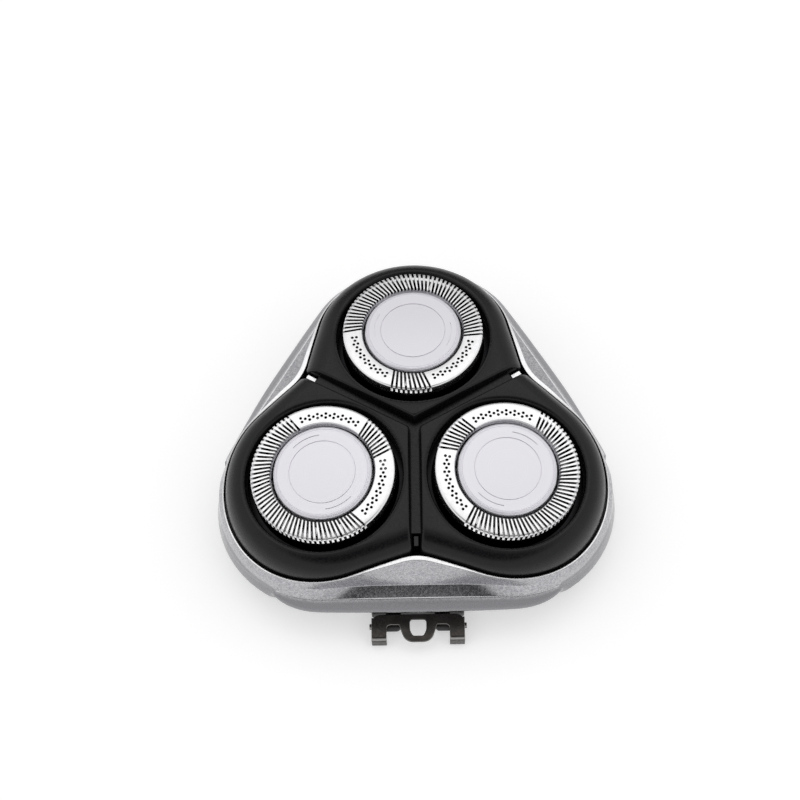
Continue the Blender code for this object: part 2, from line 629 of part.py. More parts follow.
def build_outer_frame():
    def shell(bm):
        loft(bm, [frame_section(360.0 * i / FRAME_POINTS) for i in range(FRAME_POINTS)], True)

    def ribs(bm):
        half = CHANNEL_FLOOR / 2.0 - GAP
        for azimuth in SIDE_AZIMUTHS:
            turn = Matrix.Rotation(math.radians(azimuth), 4, "Z")
            box_mesh(bm, (WAIST_RADIUS - RIB_START, -half, LEDGE_TOP - SINK),
                     (WAIST_RADIUS - RIB_END, half, CAP_HEIGHT - RIB_DROP), turn)

    def catch(bm):
        half = CATCH_WIDTH / 2.0
        box_mesh(bm, (-half, RIM_INNER_REACH - CATCH_REACH, CATCH_BOTTOM),
                 (half, RIM_INNER_REACH + WALL / 2.0, CATCH_TOP))

    def hinge_notch(bm):
        half = HINGE_WIDTH / 2.0 + GAP
        box_mesh(bm, (-half, -BLOCK_FRONT - PAST, -PAST), (half, -BLOCK_BACK, BLOCK_TOP + GAP))

    frame = add_object("outer_frame", mesh_from("outer_frame", shell), PARTS, UNIT, "silver_paint")
    join(frame, "channel_ribs", ribs, UNIT)
    boss_top = CAP_HEIGHT - SHELF_DROP - NUDGE
    join(frame, "screw_bosses", lambda bm: screw_axes(
        bm, SCREW_RADIUS + GAP + BOSS_WALL, BLOCK_TOP + GAP, boss_top), UNIT)
    join(frame, "catch", catch, UNIT)
    cut(frame, "hinge_notch", hinge_notch, UNIT)
    hole_top = BLOCK_BOTTOM + SCREW_HEAD_HEIGHT + SCREW_LENGTH + GAP
    cut(frame, "pilot_holes", lambda bm: screw_axes(bm, SCREW_RADIUS + GAP, 0.0, hole_top), UNIT)


def slot_angles():
    """Angles of the slots: a long row on the outer side and a short one towards the middle."""
    rows = ((0.0, LONG_ROW_SLOTS), (180.0, SHORT_ROW_SLOTS))
    return [centre + (i - (count - 1) / 2.0) * SLOT_PITCH for centre, count in rows for i in range(count)]


def build_guards():
    inside = GUARD_RADIUS - GUARD_WALL
    groove = CAP_RADIUS + GROOVE_FLOOR
    bore = CAP_STEM_RADIUS + GAP
    flange_top = FLANGE_THICKNESS - GUARD_DEPTH
    recess_under = -RECESS_DEPTH - RECESS_WALL
    profile = [(bore, -RECESS_DEPTH), (groove, -RECESS_DEPTH), (BAND_INNER_RADIUS, 0.0), (GUARD_RADIUS, 0.0),
               (GUARD_RADIUS + WALL_DRAFT, flange_top), (FLANGE_RADIUS, flange_top),
               (FLANGE_RADIUS, -GUARD_DEPTH), (inside, -GUARD_DEPTH), (inside, -GUARD_WALL),
               (BAND_INNER_RADIUS + GAP, -GUARD_WALL), (groove + GAP, recess_under), (bore, recess_under)]
    guard = turned("guard", profile, GUARD_STEPS, PARTS, None, "polished_steel")

    def slots(bm):
        start = BAND_INNER_RADIUS + SLOT_START
        middle = (BAND_INNER_RADIUS + GUARD_RADIUS) / 2.0
        reach = GUARD_RADIUS + WALL_DRAFT + SINK
        for angle in slot_angles():
            place = (Matrix.Rotation(math.radians(angle), 4, "Z") @ Matrix.Translation((middle, 0.0, 0.0))
                     @ Matrix.Rotation(math.radians(SLOT_SLANT), 4, "Z"))
            box_mesh(bm, (start - middle, -SLOT_WIDTH / 2.0, -SLOT_DROP),
                     (reach - middle, SLOT_WIDTH / 2.0, SINK), place)

    cut(guard, "guard_slots", slots)
    copies(applied(guard), "guard", AXES, GUARD_TURN)


def build_caps():
    under = -RECESS_DEPTH + GAP
    top = under + CAP_THICKNESS
    foot = under - CAP_STEM_LENGTH
    profile = [(0.0, top + CAP_DOME), (CAP_DISC_RADIUS, top), (CAP_RADIUS - CAP_EDGE, top),
               (CAP_RADIUS, top - CAP_EDGE), (CAP_RADIUS, under), (CAP_STEM_RADIUS, under),
               (CAP_STEM_RADIUS, foot), (0.0, foot)]
    cap = turned("guard_cap", profile, CAP_STEPS, PARTS, None, "brushed_cap", closed=False)
    copies(applied(cap), "guard_cap", AXES)


def blade_levels():
    """Heights of the blades' tips, their ring's top and the ring's underside, below the cap."""
    tip = -GUARD_WALL - GAP
    ring_top = tip - BLADE_HEIGHT
    return tip, ring_top, ring_top - BLADE_RING_THICKNESS


def build_blades():
    tip, ring_top, ring_under = blade_levels()
    profile = [(BLADE_RING_INNER, ring_top), (BLADE_OUTER_RADIUS, ring_top),
               (BLADE_OUTER_RADIUS, ring_under), (BLADE_RING_INNER, ring_under)]
    ring = turned("cutter_blades", profile, CUTTER_STEPS, PARTS, None, "blade_steel")

    def blades(bm):
        root = ring_top - BLADE_RING_THICKNESS / 2.0
        lean = Matrix.Identity(4)
        lean[1][2] = math.tan(math.radians(BLADE_RAKE))
        for i in range(BLADE_COUNT):
            turn = Matrix.Rotation(2.0 * math.pi * i / BLADE_COUNT, 4, "Z")
            place = turn @ Matrix.Translation((0.0, 0.0, root)) @ lean
            box_mesh(bm, (BLADE_INNER_RADIUS, -BLADE_THICKNESS / 2.0, 0.0),
                     (BLADE_OUTER_RADIUS - BLADE_SETBACK, BLADE_THICKNESS / 2.0, tip - root), place)

    join(ring, "blades", blades)
    copies(applied(ring), "cutter_blades", SPINS)


def lifter_level():
    """Underside of the lifter ring, below the cap."""
    return blade_levels()[1] + LIFTER_RISE


def build_carriers():
    flange_top = blade_levels()[2] - GAP
    flange_under = flange_top - CARRIER_FLANGE
    flange_edge = BLADE_OUTER_RADIUS - CARRIER_SETBACK
    bore = CAP_STEM_RADIUS + GAP
    hub_top = lifter_level() - GAP
    seat = LIFTER_INNER_RADIUS - GAP
    collar = BLADE_RING_INNER - GAP
    foot = flange_top - CARRIER_LENGTH
    profile = [(bore, hub_top + CARRIER_SEAT), (seat, hub_top + CARRIER_SEAT), (seat, hub_top),
               (collar, hub_top), (collar, flange_top), (flange_edge, flange_top),
               (flange_edge, flange_under), (CARRIER_HUB_RADIUS, flange_under),
               (CARRIER_HUB_RADIUS, foot), (bore, foot)]
    carrier = turned("cutter_carrier", profile, CUTTER_STEPS, PARTS, None, "carrier_plastic")
    half = SOCKET_WIDTH / 2.0
    cut(carrier, "socket", lambda bm: box_mesh(
        bm, (-half, -half, foot - PAST), (half, half, foot + SOCKET_DEPTH)))
    copies(applied(carrier), "cutter_carrier", SPINS)


def build_lifters():
    """A sprung steel ring with a raised tongue ahead of each blade."""
    under = lifter_level()

    def star(bm):
        sections = []
        for i in range(2 * BLADE_COUNT):
            angle = math.pi * (i + TONGUE_LEAD) / BLADE_COUNT
            is_tongue = i % 2 == 0
            lift = TONGUE_LIFT if is_tongue else 0.0
            outer = LIFTER_OUTER_RADIUS if is_tongue else LIFTER_OUTER_RADIUS - TONGUE_LENGTH
            corners = [(LIFTER_INNER_RADIUS, under), (LIFTER_INNER_RADIUS, under + LIFTER_THICKNESS),
                       (outer, under + lift + LIFTER_THICKNESS), (outer, under + lift)]
            sections.append([(radius * math.cos(angle), radius * math.sin(angle), height)
                             for radius, height in corners])
        loft(bm, sections, True)

    ring = add_object("cutter_lifters", mesh_from("cutter_lifters", star), PARTS, None, "blade_steel")
    copies(ring, "cutter_lifters", SPINS)


def build_retainer():
    bore = STUD_RADIUS + GAP
    profile = [(bore, HUB_TOP), (HUB_RADIUS, HUB_TOP), (HUB_RADIUS, HUB_UNDERSIDE), (bore, HUB_UNDERSIDE)]
    hub = turned("retaining_frame", profile, RETAINER_STEPS, PARTS, UNIT, "retainer_plastic")
    top = -RETAINER_DROP
    under = top - RETAINER_THICKNESS
    step = RETAINER_OUTER_RADIUS - RETAINER_RIM
    ring_profile = [(RETAINER_INNER_RADIUS, top), (RETAINER_OUTER_RADIUS, top),
                    (RETAINER_OUTER_RADIUS, under), (step, under - RETAINER_RIB),
                    (RETAINER_INNER_RADIUS, under - RETAINER_RIB)]
    tab_start = RETAINER_OUTER_RADIUS - SINK
    tab_end = SEAT_RADIUS - GAP
    for head, axis in AXES.items():
        ring = turned(f"retainer_ring_{head}", ring_profile, RETAINER_STEPS, CUTTERS, axis)
        boolean(hub, guide(ring), "UNION")
        join(hub, f"retainer_tab_{head}", lambda bm: box_mesh(
            bm, (tab_start, -TAB_WIDTH / 2.0, under), (tab_end, TAB_WIDTH / 2.0, top - TAB_DROP)), axis)


def build_lock_knob():
    bore = STUD_RADIUS + GAP
    profile = [(bore, KNOB_TOP), (KNOB_RADIUS, KNOB_TOP), (KNOB_RADIUS, KNOB_UNDERSIDE + KNOB_BEVEL),
               (KNOB_RADIUS - KNOB_BEVEL, KNOB_UNDERSIDE), (bore, KNOB_UNDERSIDE)]
    knob = turned("lock_knob", profile, RETAINER_STEPS, PARTS, UNIT, "knob_plastic")
    slot_half = LUG_LENGTH / 2.0 + GAP

    def grips(bm):
        near = slot_half + GRIP_WALL
        far = KNOB_RADIUS - GRIP_INSET
        for start, end in ((-far, -near), (near, far)):
            box_mesh(bm, (-GRIP_WIDTH / 2.0, start, KNOB_UNDERSIDE - GRIP_HEIGHT),
                     (GRIP_WIDTH / 2.0, end, KNOB_UNDERSIDE + SINK))

    join(knob, "knob_grips", grips, UNIT)
    cut(knob, "assembly_slot", lambda bm: box_mesh(
        bm, (-LUG_WIDTH / 2.0 - GAP, -slot_half, KNOB_UNDERSIDE - PAST),
        (LUG_WIDTH / 2.0 + GAP, slot_half, KNOB_TOP + PAST)), UNIT)


def knuckle_outline(x):
    """Section of a knuckle across X: an arm from the block with a round nose about the pin."""
    root = -BLOCK_FRONT + SINK
    nose = corner_arc((-PIN_REACH, PIN_HEIGHT), KNUCKLE_RADIUS, 90.0, 270.0, KNUCKLE_POINTS)
    outline = [(root, PIN_HEIGHT + KNUCKLE_RADIUS)] + nose + [(root, PIN_HEIGHT - KNUCKLE_RADIUS)]
    return [(x, y, z) for y, z in outline]


def build_hinge_block():
    half = HINGE_WIDTH / 2.0
    block = add_object("hinge_block", mesh_from("hinge_block", lambda bm: box_mesh(
        bm, (-half, -BLOCK_FRONT, BLOCK_BOTTOM), (half, -BLOCK_BACK - GAP, BLOCK_TOP))),
        PARTS, UNIT, "hinge_plastic")
    bevel = block.modifiers.new("Edges", "BEVEL")
    bevel.width = BLOCK_BEVEL * MM
    bevel.segments = 1
    bevel.limit_method = "ANGLE"
    for side, label in ((-1.0, "left"), (1.0, "right")):
        start = side * KNUCKLE_OFFSET - KNUCKLE_WIDTH / 2.0
        join(block, f"knuckle_{label}", lambda bm: loft(
            bm, [knuckle_outline(start), knuckle_outline(start + KNUCKLE_WIDTH)], False), UNIT)
    cut(block, "pin_bore", lambda bm: rod_mesh(
        bm, PIN_BORE, (-half, -PIN_REACH, PIN_HEIGHT), (half, -PIN_REACH, PIN_HEIGHT)), UNIT)
    cut(block, "screw_ways", lambda bm: screw_axes(
        bm, SCREW_RADIUS + GAP, HEAD_WELL_TOP - SINK, BLOCK_TOP + PAST), UNIT)
    cut(block, "head_wells", lambda bm: screw_axes(
        bm, SCREW_HEAD_RADIUS + GAP, BLOCK_BOTTOM - PAST, HEAD_WELL_TOP), UNIT)


def build_screws():
    """The two screws that hold the hinge block, each turned from tip to head with a cross recess."""
    tip = SCREW_HEAD_HEIGHT + SCREW_LENGTH
    profile = [(0.0, tip), (SCREW_TIP_RADIUS, tip), (SCREW_RADIUS, tip - SCREW_TIP_RADIUS),
               (SCREW_RADIUS, SCREW_HEAD_HEIGHT), (SCREW_HEAD_RADIUS, SCREW_HEAD_HEIGHT),
               (SCREW_HEAD_RADIUS, SCREW_HEAD_BEVEL), (SCREW_HEAD_RADIUS - SCREW_HEAD_BEVEL, 0.0),
               (0.0, 0.0)]
    screw = turned("hinge_screw", profile, PIN_STEPS, PARTS, None, "screw_steel", closed=False)
    for index in range(2):
        turn = Matrix.Rotation(math.radians(90.0 * index), 4, "Z")
        cut(screw, f"cross_recess_{index}", lambda bm: box_mesh(
            bm, (-CROSS_LENGTH / 2.0, -CROSS_WIDTH / 2.0, -PAST),
            (CROSS_LENGTH / 2.0, CROSS_WIDTH / 2.0, CROSS_DEPTH), turn))
    places = {"left": -SCREW_OFFSET, "right": SCREW_OFFSET}
    seats = {label: empty(f"screw_axis_{label}", (x, -SCREW_REACH, BLOCK_BOTTOM + NUDGE), parent=UNIT)
             for label, x in places.items()}
    copies(applied(screw), "hinge_screw", seats)


def clip_outline():
    """Right half of the clip's plate, from its middle at the back round to its middle at the tongue.

    X is across, and Y is the distance from the middle of the unit.
    """
    half = HINGE_WIDTH / 2.0
    inner = half - LEG_WIDTH
    bridge = CLIP_BACK + BRIDGE_DEPTH
    root = (TONGUE_HOLE + TONGUE_SHOULDER) / 2.0
    tip = (TONGUE_HOLE + TONGUE_MARGIN) / 2.0
    points = [(0.0, CLIP_BACK)]
    points += corner_arc((half - CLIP_CORNER, CLIP_BACK + CLIP_CORNER), CLIP_CORNER, -90.0, 0.0, 4)
    points += [(half, CLIP_FRONT), (inner, CLIP_FRONT)]
    points += corner_arc((inner - LEG_FILLET, bridge + LEG_FILLET), LEG_FILLET, 0.0, -90.0, 3)
    points.append((root, bridge))
    points += corner_arc((tip - TONGUE_CORNER, TONGUE_REACH - TONGUE_CORNER), TONGUE_CORNER, 0.0, 90.0, 3)
    points.append((0.0, TONGUE_REACH))
    return points


def build_clip():
    """The clip and its pin. Both turn about the pin's axis, where their parent empty stands."""
    pivot = empty("clip_pivot", (0.0, -PIN_REACH, PIN_HEIGHT), parent=UNIT)
    half = HINGE_WIDTH / 2.0
    ear_depth = KNUCKLE_RADIUS + EAR_MARGIN
    hole_middle = PIN_REACH - (CLIP_BACK + TONGUE_REACH) / 2.0
    front = PIN_REACH - CLIP_FRONT

    def plate(bm):
        right = clip_outline()
        left = [(-x, y) for x, y in reversed(right[1:-1])]
        outline = [(x, PIN_REACH - y) for x, y in right + left]
        loft(bm, [[(x, y, z) for x, y in outline] for z in (CLIP_RISE, CLIP_RISE + SHEET)], False)

    def side_plates(bm, width, back, front_face, bottom):
        """A pair of plates turned down from the clip's left and right edges."""
        for start, end in ((-half, width - half), (half - width, half)):
            box_mesh(bm, (start, back, bottom), (end, front_face, CLIP_RISE + SHEET / 2.0))

    clip = add_object("hinge_clip", mesh_from("hinge_clip", plate), PARTS, pivot, "spring_steel")
    join(clip, "clip_ears", lambda bm: side_plates(bm, SHEET, -ear_depth, ear_depth, -KNUCKLE_RADIUS), pivot)
    join(clip, "clip_feet", lambda bm: side_plates(bm, LEG_WIDTH, front, front + SHEET,
                                                   FOOT_CLEARANCE - PIN_HEIGHT), pivot)
    cut(clip, "clip_hole", lambda bm: rod_mesh(
        bm, TONGUE_HOLE / 2.0, (0.0, hole_middle, 0.0), (0.0, hole_middle, CLIP_RISE + PAST), 8), pivot)
    cut(clip, "ear_holes", lambda bm: rod_mesh(
        bm, PIN_BORE, (-half - PAST, 0.0, 0.0), (half + PAST, 0.0, 0.0)), pivot)
    reach = half + PIN_NUB
    add_object("hinge_pin", mesh_from("hinge_pin", lambda bm: rod_mesh(
        bm, PIN_RADIUS, (-reach, 0.0, 0.0), (reach, 0.0, 0.0), 12)), PARTS, pivot, "spring_steel")


clear_scene()
PARTS = collection("rotary_shaver_head")
CUTTERS = collection("cutters")
UNIT = empty("unit_axis", (0.0, AXIS_Y, 0.0))
AXES = {}
SPINS = {}
for head_name, head_azimuth in HEADS.items():
    place = math.radians(head_azimuth)
    AXES[head_name] = empty(f"guard_axis_{head_name}",
                            (HEAD_PITCH * math.cos(place), HEAD_PITCH * math.sin(place), CAP_HEIGHT),
                            (0.0, HEAD_TILT, head_azimuth), UNIT)
    SPINS[head_name] = empty(f"cutter_axis_{head_name}", (0.0, 0.0, 0.0), parent=AXES[head_name])

build_outer_frame()
build_face_plate()
build_guards()
build_caps()
build_blades()
build_carriers()
build_lifters()
build_retainer()
build_lock_knob()
build_hinge_block()
build_screws()
build_clip()
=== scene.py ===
"""Rotary shaver head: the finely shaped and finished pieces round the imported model, with floor,
light and camera as in the photograph.

Blender 4.5. Sizes are in millimetres, measured from the common axis of the three heads and up
from the rear rim. Those of a head's own pieces are measured from the middle of its cap.
"""

import math

import bmesh
import bpy
from mathutils import Matrix, Vector


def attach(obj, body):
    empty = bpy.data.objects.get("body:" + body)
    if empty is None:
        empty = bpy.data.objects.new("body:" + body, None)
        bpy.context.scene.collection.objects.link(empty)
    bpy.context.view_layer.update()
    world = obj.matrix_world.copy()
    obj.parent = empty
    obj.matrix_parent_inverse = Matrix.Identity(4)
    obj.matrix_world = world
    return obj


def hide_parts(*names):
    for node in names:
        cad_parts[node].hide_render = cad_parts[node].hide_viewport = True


MM = 0.001
AXIS_Y = -1.75                # common axis of the heads, in the model's frame
GAP = 0.3
SINK = 0.6
PAST = 3.0
WELD = 0.0005
TRIM = 0.03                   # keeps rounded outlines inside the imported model's faceted ones
SMOOTH_ANGLE = 35.0
CORNER_ANGLE = 20.0           # an outline that turns by more than this has a corner there
EDGE_PIECES = 4
ROUNDING_LIMIT = 0.45         # share of a side that a rounded corner may take
SHARP, CRISP, FINE, SOFT, FULL = 0.02, 0.05, 0.1, 0.15, 0.2   # roundings of edges
ROD_STEPS = 32

# Layout of the three heads
HEADS = {"top": 90.0, "left": 210.0, "right": 330.0}
SIDE_AZIMUTHS = (270.0, 150.0, 30.0)
SIDE_ANGLE = math.radians(60.0)
NO_TURN = {"top": 0.0, "left": 0.0, "right": 0.0}
GUARD_TURN = {"top": -3.6, "left": 1.7, "right": -5.3}
CAP_TURN = {"top": -5.5, "left": 0.0, "right": 5.5}
HEAD_PITCH = 15.9926
HEAD_TILT = 5.0
CAP_HEIGHT = 17.5
TURNED_STEPS = 96

# Guards
GUARD_RADIUS = 10.9
GUARD_WALL = 0.45
GUARD_EDGE = 0.4
BAND_INNER_RADIUS = 8.0
BAND_EDGE = 0.1
GUARD_DEPTH = 5.0
WALL_DRAFT = 0.15
FLANGE_RADIUS = 12.45
FLANGE_THICKNESS = 0.7
RECESS_DEPTH = 1.0
RECESS_WALL = 0.4
GROOVE_RADIUS = 7.55
GUARD_STEPS = 240
SLOT_WIDTH = 0.35
SLOT_DROP = 1.15
SLOT_START = 7.82
SLOT_PITCH = 3.95
SLOT_SLANT = 11.0
LONG_ROW_SLOTS = 48
SHORT_ROW_SLOTS = 9
HOLE_DIAMETER = 0.46
HOLE_ARC = (101.1, 156.4)     # degrees off the outward direction, on both sides
HOLE_STEPS = 15
HOLE_SIDES = 16
PAIR_RADII = (8.85, 9.5)
SINGLE_RADII = (9.18,)
BLACK_WALL_FROM = (-1.5, -1.9) # the guard's wall is coloured black below this
# Painted shade in black on the slots' walls, below these heights and between these radii
SLOT_SHADE_FROM = (-0.06, -0.16)
SLOT_SHADE_RADII = (8.0, 8.15, 10.35, 10.5)

# Caps
CAP_UNDER = -0.7
CAP_RADIUS = 7.4
CAP_DOME = 0.05
CAP_DOME_SHARE = 0.75         # share of the dome's height halfway out
CAP_LIP_RADIUS = 6.95
# Two fine lines and the outer edge, as offsets from the lip's radius and heights
CAP_LIP = ((-0.14, 0.0), (-0.1, -0.07), (-0.04, -0.07), (0.0, 0.0), (0.1, -0.01), (0.14, -0.09),
           (0.2, -0.09), (0.24, -0.05), (0.34, -0.1))
CAP_EDGE = -0.22
CAP_STEPS = 192
DISC_RADIUS = 5.0
LINE_WIDTH = 0.12
LINE_DEPTH = 0.12
LINE_FOOT_SHARE = 0.6
STEM_RADIUS = 1.3
STEM_LENGTH = 4.0
ARC_RADIUS = 6.0
ARC_RANGES = ((-115.0, -73.0), (65.0, 106.0))
ARC_PIECES = 24

# Cutters
BLADE_COUNT = 15
BLADE_INNER = 8.55
BLADE_OUTER = 9.8
BLADE_THICKNESS = 0.45
BLADE_RAKE = 20.0
BLADE_TIP = -0.75
RING_TOP = -3.05
RING_UNDER = -3.55
RING_RADII = (8.3, 9.9)
LIFTER_UNDER = -2.9
LIFTER_RADII = (5.0, 7.6)
LIFTER_THICKNESS = 0.3
LIFTER_EDGE = 0.05
TONGUE_LENGTH = 0.6
TONGUE_LIFT = 0.5
TONGUE_LEAD = 0.35            # share of a half pitch that a tongue runs ahead of its blade
CARRIER_BORE = 1.6
CARRIER_SEAT = (4.7, 0.6)
CARRIER_COLLAR = 8.0
CARRIER_EDGE = 9.7
CARRIER_HUB = 3.604
CARRIER_LEVELS = (-3.2, -3.85, -4.4, -8.45)              # collar, flange's top and underside, foot
SOCKET_WIDTH = 3.4
SOCKET_DEPTH = 2.4
SOCKET_CORNER = 0.25

# Face plate
SEAT_RADIUS = 12.75
SEAT_DROP = 4.0
OPENING_RADIUS = 11.9
OPENING_EDGE = (1.05, 0.7)    # width and depth of the rounding round an opening
OPENING_STEPS = 180
LOBE_RADIUS = 15.15
WAIST_RADIUS = 19.5926
PLATE_DROP = 1.3
PLATE_UNDERSIDE = 9.9
PLATE_DEPTH = 7.6
ROLL_WIDTH = 3.15
ROLL_STEPS = 10
LOBE_ARC_POINTS = 40
LOBE_CORNER = 0.5
RIM_DROP_WAIST = 3.5
RIM_DROP_TIP = 7.4
CHANNEL_TOP = 2.45
CHANNEL_FLOOR = 1.2
CHANNEL_HEIGHT = 15.4
STUD_RADIUS = 1.8
STUD_FOOT = 5.4
LUG_LENGTH = 6.4
LUG_WIDTH = 1.6
LUG_THICKNESS = 0.6
NUDGE = 0.05                  # keeps the faces of joined shapes out of one plane

# Outer frame
FRAME_LAND = 0.3
WAIST_LAND = 0.75             # the land is wider where two lobes meet
LAND_BLEND = (6.0, 30.0)
SHELF_RADIUS = 22.8926
SHELF_DROP = 8.7
SHELF_FALL = 0.6              # outer edge of the shelf below the foot of the upper wall
SHELF_EDGE_INSET = 0.15
LIP_FLAT = 0.15               # narrow level edge between the shelf and the lip
SIDE_REACH = 24.9926
TRIANGLE_CORNER_PITCH = 16.4
TRIANGLE_CORNER_RADIUS = 16.7926
CORNER_REACH = 33.1926
CHEEK_INSET = 0.85
CHEEK_FLANK_DROP = 7.2
CHEEK_TIP_DROP = 9.1
WALL_LEAN = (0.45, 0.15)
WALL_DROPS = (10.6, 12.0)
SHELF_BLEND = (16.0, 44.0)
CORNER_BLEND = (38.0, 60.0)
BULGE = 1.75
# Half angle of the lip's bulge, its power, and where the wall changes. A high power keeps the bulge
# full almost up to its ends, but at the widest places it ends sooner.
LIP_END = (44.5, 8.0, (42.5, 44.5))
WIDEST_END = (36.0, 2.0, (33.0, 35.0))
WIDEST_AZIMUTHS = (0.0, 180.0)
WIDEST_REACH = 30.0
BULGE_DROP = 10.8
LIP_STEP = 0.35
LIP_HEIGHT = 2.3
LIP_FOOT_INSET = 1.1
LIP_FOOT_SHARE = 0.6
WALL = 1.6
RIM_INSET = 2.2
INNER_WALL_SHARE = 0.6
INNER_WALL_RISE = 1.5
LEDGE_TOP = 9.6
LEDGE_INSET = 1.2
LEDGE_THICKNESS = 1.6
FRAME_POINTS = 360
# How far each corner of the frame's section is rounded, from the inner top edge round and back
FRAME_ROUNDING = (0.08, 0.1, 0.12, 0.05, 0.1, 0.9, 0.6, 0.3, 0.2, 0.8, 0.2, 0.2, 0.1)
# Painted highlight on the lip's top edge, as a share of the one on the level edge round the plate
LIP_HIGHLIGHT = 0.6
PAINTED_SHADE_END = -0.2               # from this value down the colour gives way to black, as painted shade
PAINTED_SHADE_DROP = 0.5               # the inner side is blackened as painted shade from here below the rim
EDGE_REACH = 0.02             # points nearer than this to a bright edge belong to it
WAIST_FILLET = 8.0            # radius that rounds the frame's edge where two lobes meet
RIB_START = 2.0
RIB_END = 0.5
RIB_DROP = 2.6
RIB_FOOT = (3.0, 1.4)         # start inside the waist and half width of the foot that carries a rib
CATCH_WIDTH = 7.0
CATCH_REACH = 2.1
CATCH_BOTTOM = 1.0
CATCH_TOP = 2.6
RIM_INNER_REACH = CORNER_REACH - RIM_INSET - WALL

# Retaining frame and lock knob
HUB_TOP = 11.0
HUB_UNDERSIDE = 8.6
HUB_RADIUS = 5.1926
RETAINER_RADII = (8.6, 10.8, 11.8)
RETAINER_LEVELS = (-6.3, -7.3, -7.8)
TAB_START = 11.2
TAB_END = 12.45
TAB_WIDTH = 4.0
TAB_TOP = -6.5
KNOB_TOP = 8.3
KNOB_UNDERSIDE = 6.3
KNOB_RADIUS = 6.2
KNOB_BEVEL = 0.3
GRIP_EDGE = 0.12
GRIP_WIDTH = 1.8
GRIP_HEIGHT = 1.3
GRIP_REACH = (3.8, 5.3)
ASSEMBLY_SLOT = (1.1, 3.5)

# Hinge
HINGE_WIDTH = 14.2
BLOCK_BOTTOM = 0.25
BLOCK_TOP = 2.7
BLOCK_BEVEL = 0.25
BLOCK_BACK = 18.0926
SCREW_OFFSET = 4.5
SCREW_REACH = 20.6926
SCREW_RADIUS = 0.8
SCREW_TIP_RADIUS = 0.5
SCREW_TOP = 5.4               # tip above the underside of the head
SCREW_HEAD_RADIUS = 1.6
SCREW_HEAD_HEIGHT = 0.8
SCREW_HEAD_BEVEL = 0.25
CROSS = (1.8, 0.4, 0.4)       # length, width and depth of the cross recess
PILOT_TOP = 5.95
BOSS_WALL = 0.9
PIN_RADIUS = 0.45
PIN_BORE = 0.55
PIN_NUB = 0.35
PIN_REACH = 26.6926
PIN_HEIGHT = 1.1
KNUCKLE_RADIUS = 0.8
KNUCKLE_RANGE = (2.6, 4.9)
KNUCKLE_CORNER = 0.7
SHEET = 0.45
SHEET_EDGE = 0.11
CLIP_BACK = 25.2926
CLIP_FRONT = 29.3926
CLIP_UNDER = 2.2              # underside of the clip's plate
CLIP_CORNER = 1.6
LEG_WIDTH = 2.3
LEG_FILLET = 0.75
LEG_BEND = 0.6
FOOT_BOTTOM = 0.05
BRIDGE_DEPTH = 1.65
TONGUE_ROOT = 5.8
TONGUE_TIP = 4.0
TONGUE_CORNER = 1.35
TONGUE_REACH = 29.6926
TONGUE_HOLE = ((1.25, 26.1, 0.5), (1.25, 27.85, 0.4), (0.8, 28.75, 0.25))   # its right half
EAR_RADIUS = 0.95

# Camera, from the middle of the caps' plane
VIEW_AZIMUTH = 0.785
VIEW_ELEVATION = 63.523
VIEW_ROLL = -1.758
VIEW_DISTANCE = 247.042
LENS = 73.516
SENSOR = 36.0
SHIFT = (-0.01783, 0.02753)

# Finishes
SHADED_FROM = (8.25, 7.75)    # painted shade: the paint turns darker between these heights
EDGE_HIGHLIGHT_RISE = (0.35, 0.5, 0.85, 0.95)   # how far up the rounded edges of the clip face where they get a painted highlight
CLOUD_LIMITS = (0.3, 0.7)     # most values of a cloudy pattern lie between these
CLOUD_DETAIL = 3.0
LINE_DETAIL = 2.0
MOULDED_CLOUDS = (700.0, 1800.0)      # patterns per metre in the colour and the roughness
MOULDED_ROUGHNESS = (-0.06, 0.08)
MOULDED_GRAIN = (4200.0, 0.006)       # patterns per metre and depth
BLACK = (0.012, 0.012, 0.013)

# Light
WORLD_LEVEL = 0.88
# Darker sides of the studio: direction, cosines of the angles where each starts and is darkest, share
DARK_SIDES = (((0.0, -0.36, 0.933), 0.79, 0.95, 0.05),
              ((0.0, 0.996, 0.087), 0.77, 0.88, 0.35))
LAMP_PLACE = (0.0, 60.0, 300.0)
LAMP_TARGET = (0.0, 0.0, 10.0)
LAMP_WIDTH = 320.0
LAMP_POWER = 0.12
FLOOR_HEIGHT = -0.02
FLOOR_REACH = 1500.0
FLOOR_COLOUR = (0.78, 0.78, 0.78)
FLOOR_GLOW = 0.46             # seen by the camera, so that the background is white


def rotation(degrees, axis):
    return Matrix.Rotation(math.radians(degrees), 4, axis)


UNMOVED = Matrix.Identity(4)
UNIT = Matrix.Translation((0.0, AXIS_Y, 0.0))
HEAD_PLACES = {head: rotation(azimuth, "Z") @ Matrix.Translation((HEAD_PITCH, 0.0, CAP_HEIGHT))
               @ rotation(HEAD_TILT, "Y") for head, azimuth in HEADS.items()}


def add_object(name, data):
    obj = bpy.data.objects.new(name, data)
    bpy.context.scene.collection.objects.link(obj)
    return obj


def shape(name, build):
    """An object in metres of what the function build adds, in millimetres, to an empty bmesh."""
    bm = bmesh.new()
    build(bm)
    bmesh.ops.remove_doubles(bm, verts=bm.verts, dist=WELD)
    bmesh.ops.recalc_face_normals(bm, faces=bm.faces)
    bmesh.ops.scale(bm, vec=(MM, MM, MM), verts=bm.verts)
    mesh = bpy.data.meshes.new(name)
    bm.to_mesh(mesh)
    bm.free()
    return add_object(name, mesh)


def loft(bm, rings, closed_loop=False, matrix=UNMOVED):
    """Joins rings of as many points each. Without closed_loop the first and last ring are capped."""
    rows = [[bm.verts.new(matrix @ Vector(point)) for point in ring] for ring in rings]
    pairs = list(zip(rows[:-1], rows[1:]))
    if closed_loop:
        pairs.append((rows[-1], rows[0]))
    else:
        bm.faces.new(list(reversed(rows[0])))
        bm.faces.new(rows[-1])
    count = len(rows[0])
    for lower, upper in pairs:
        for i in range(count):
            j = (i + 1) % count
            bm.faces.new((lower[i], lower[j], upper[j], upper[i]))


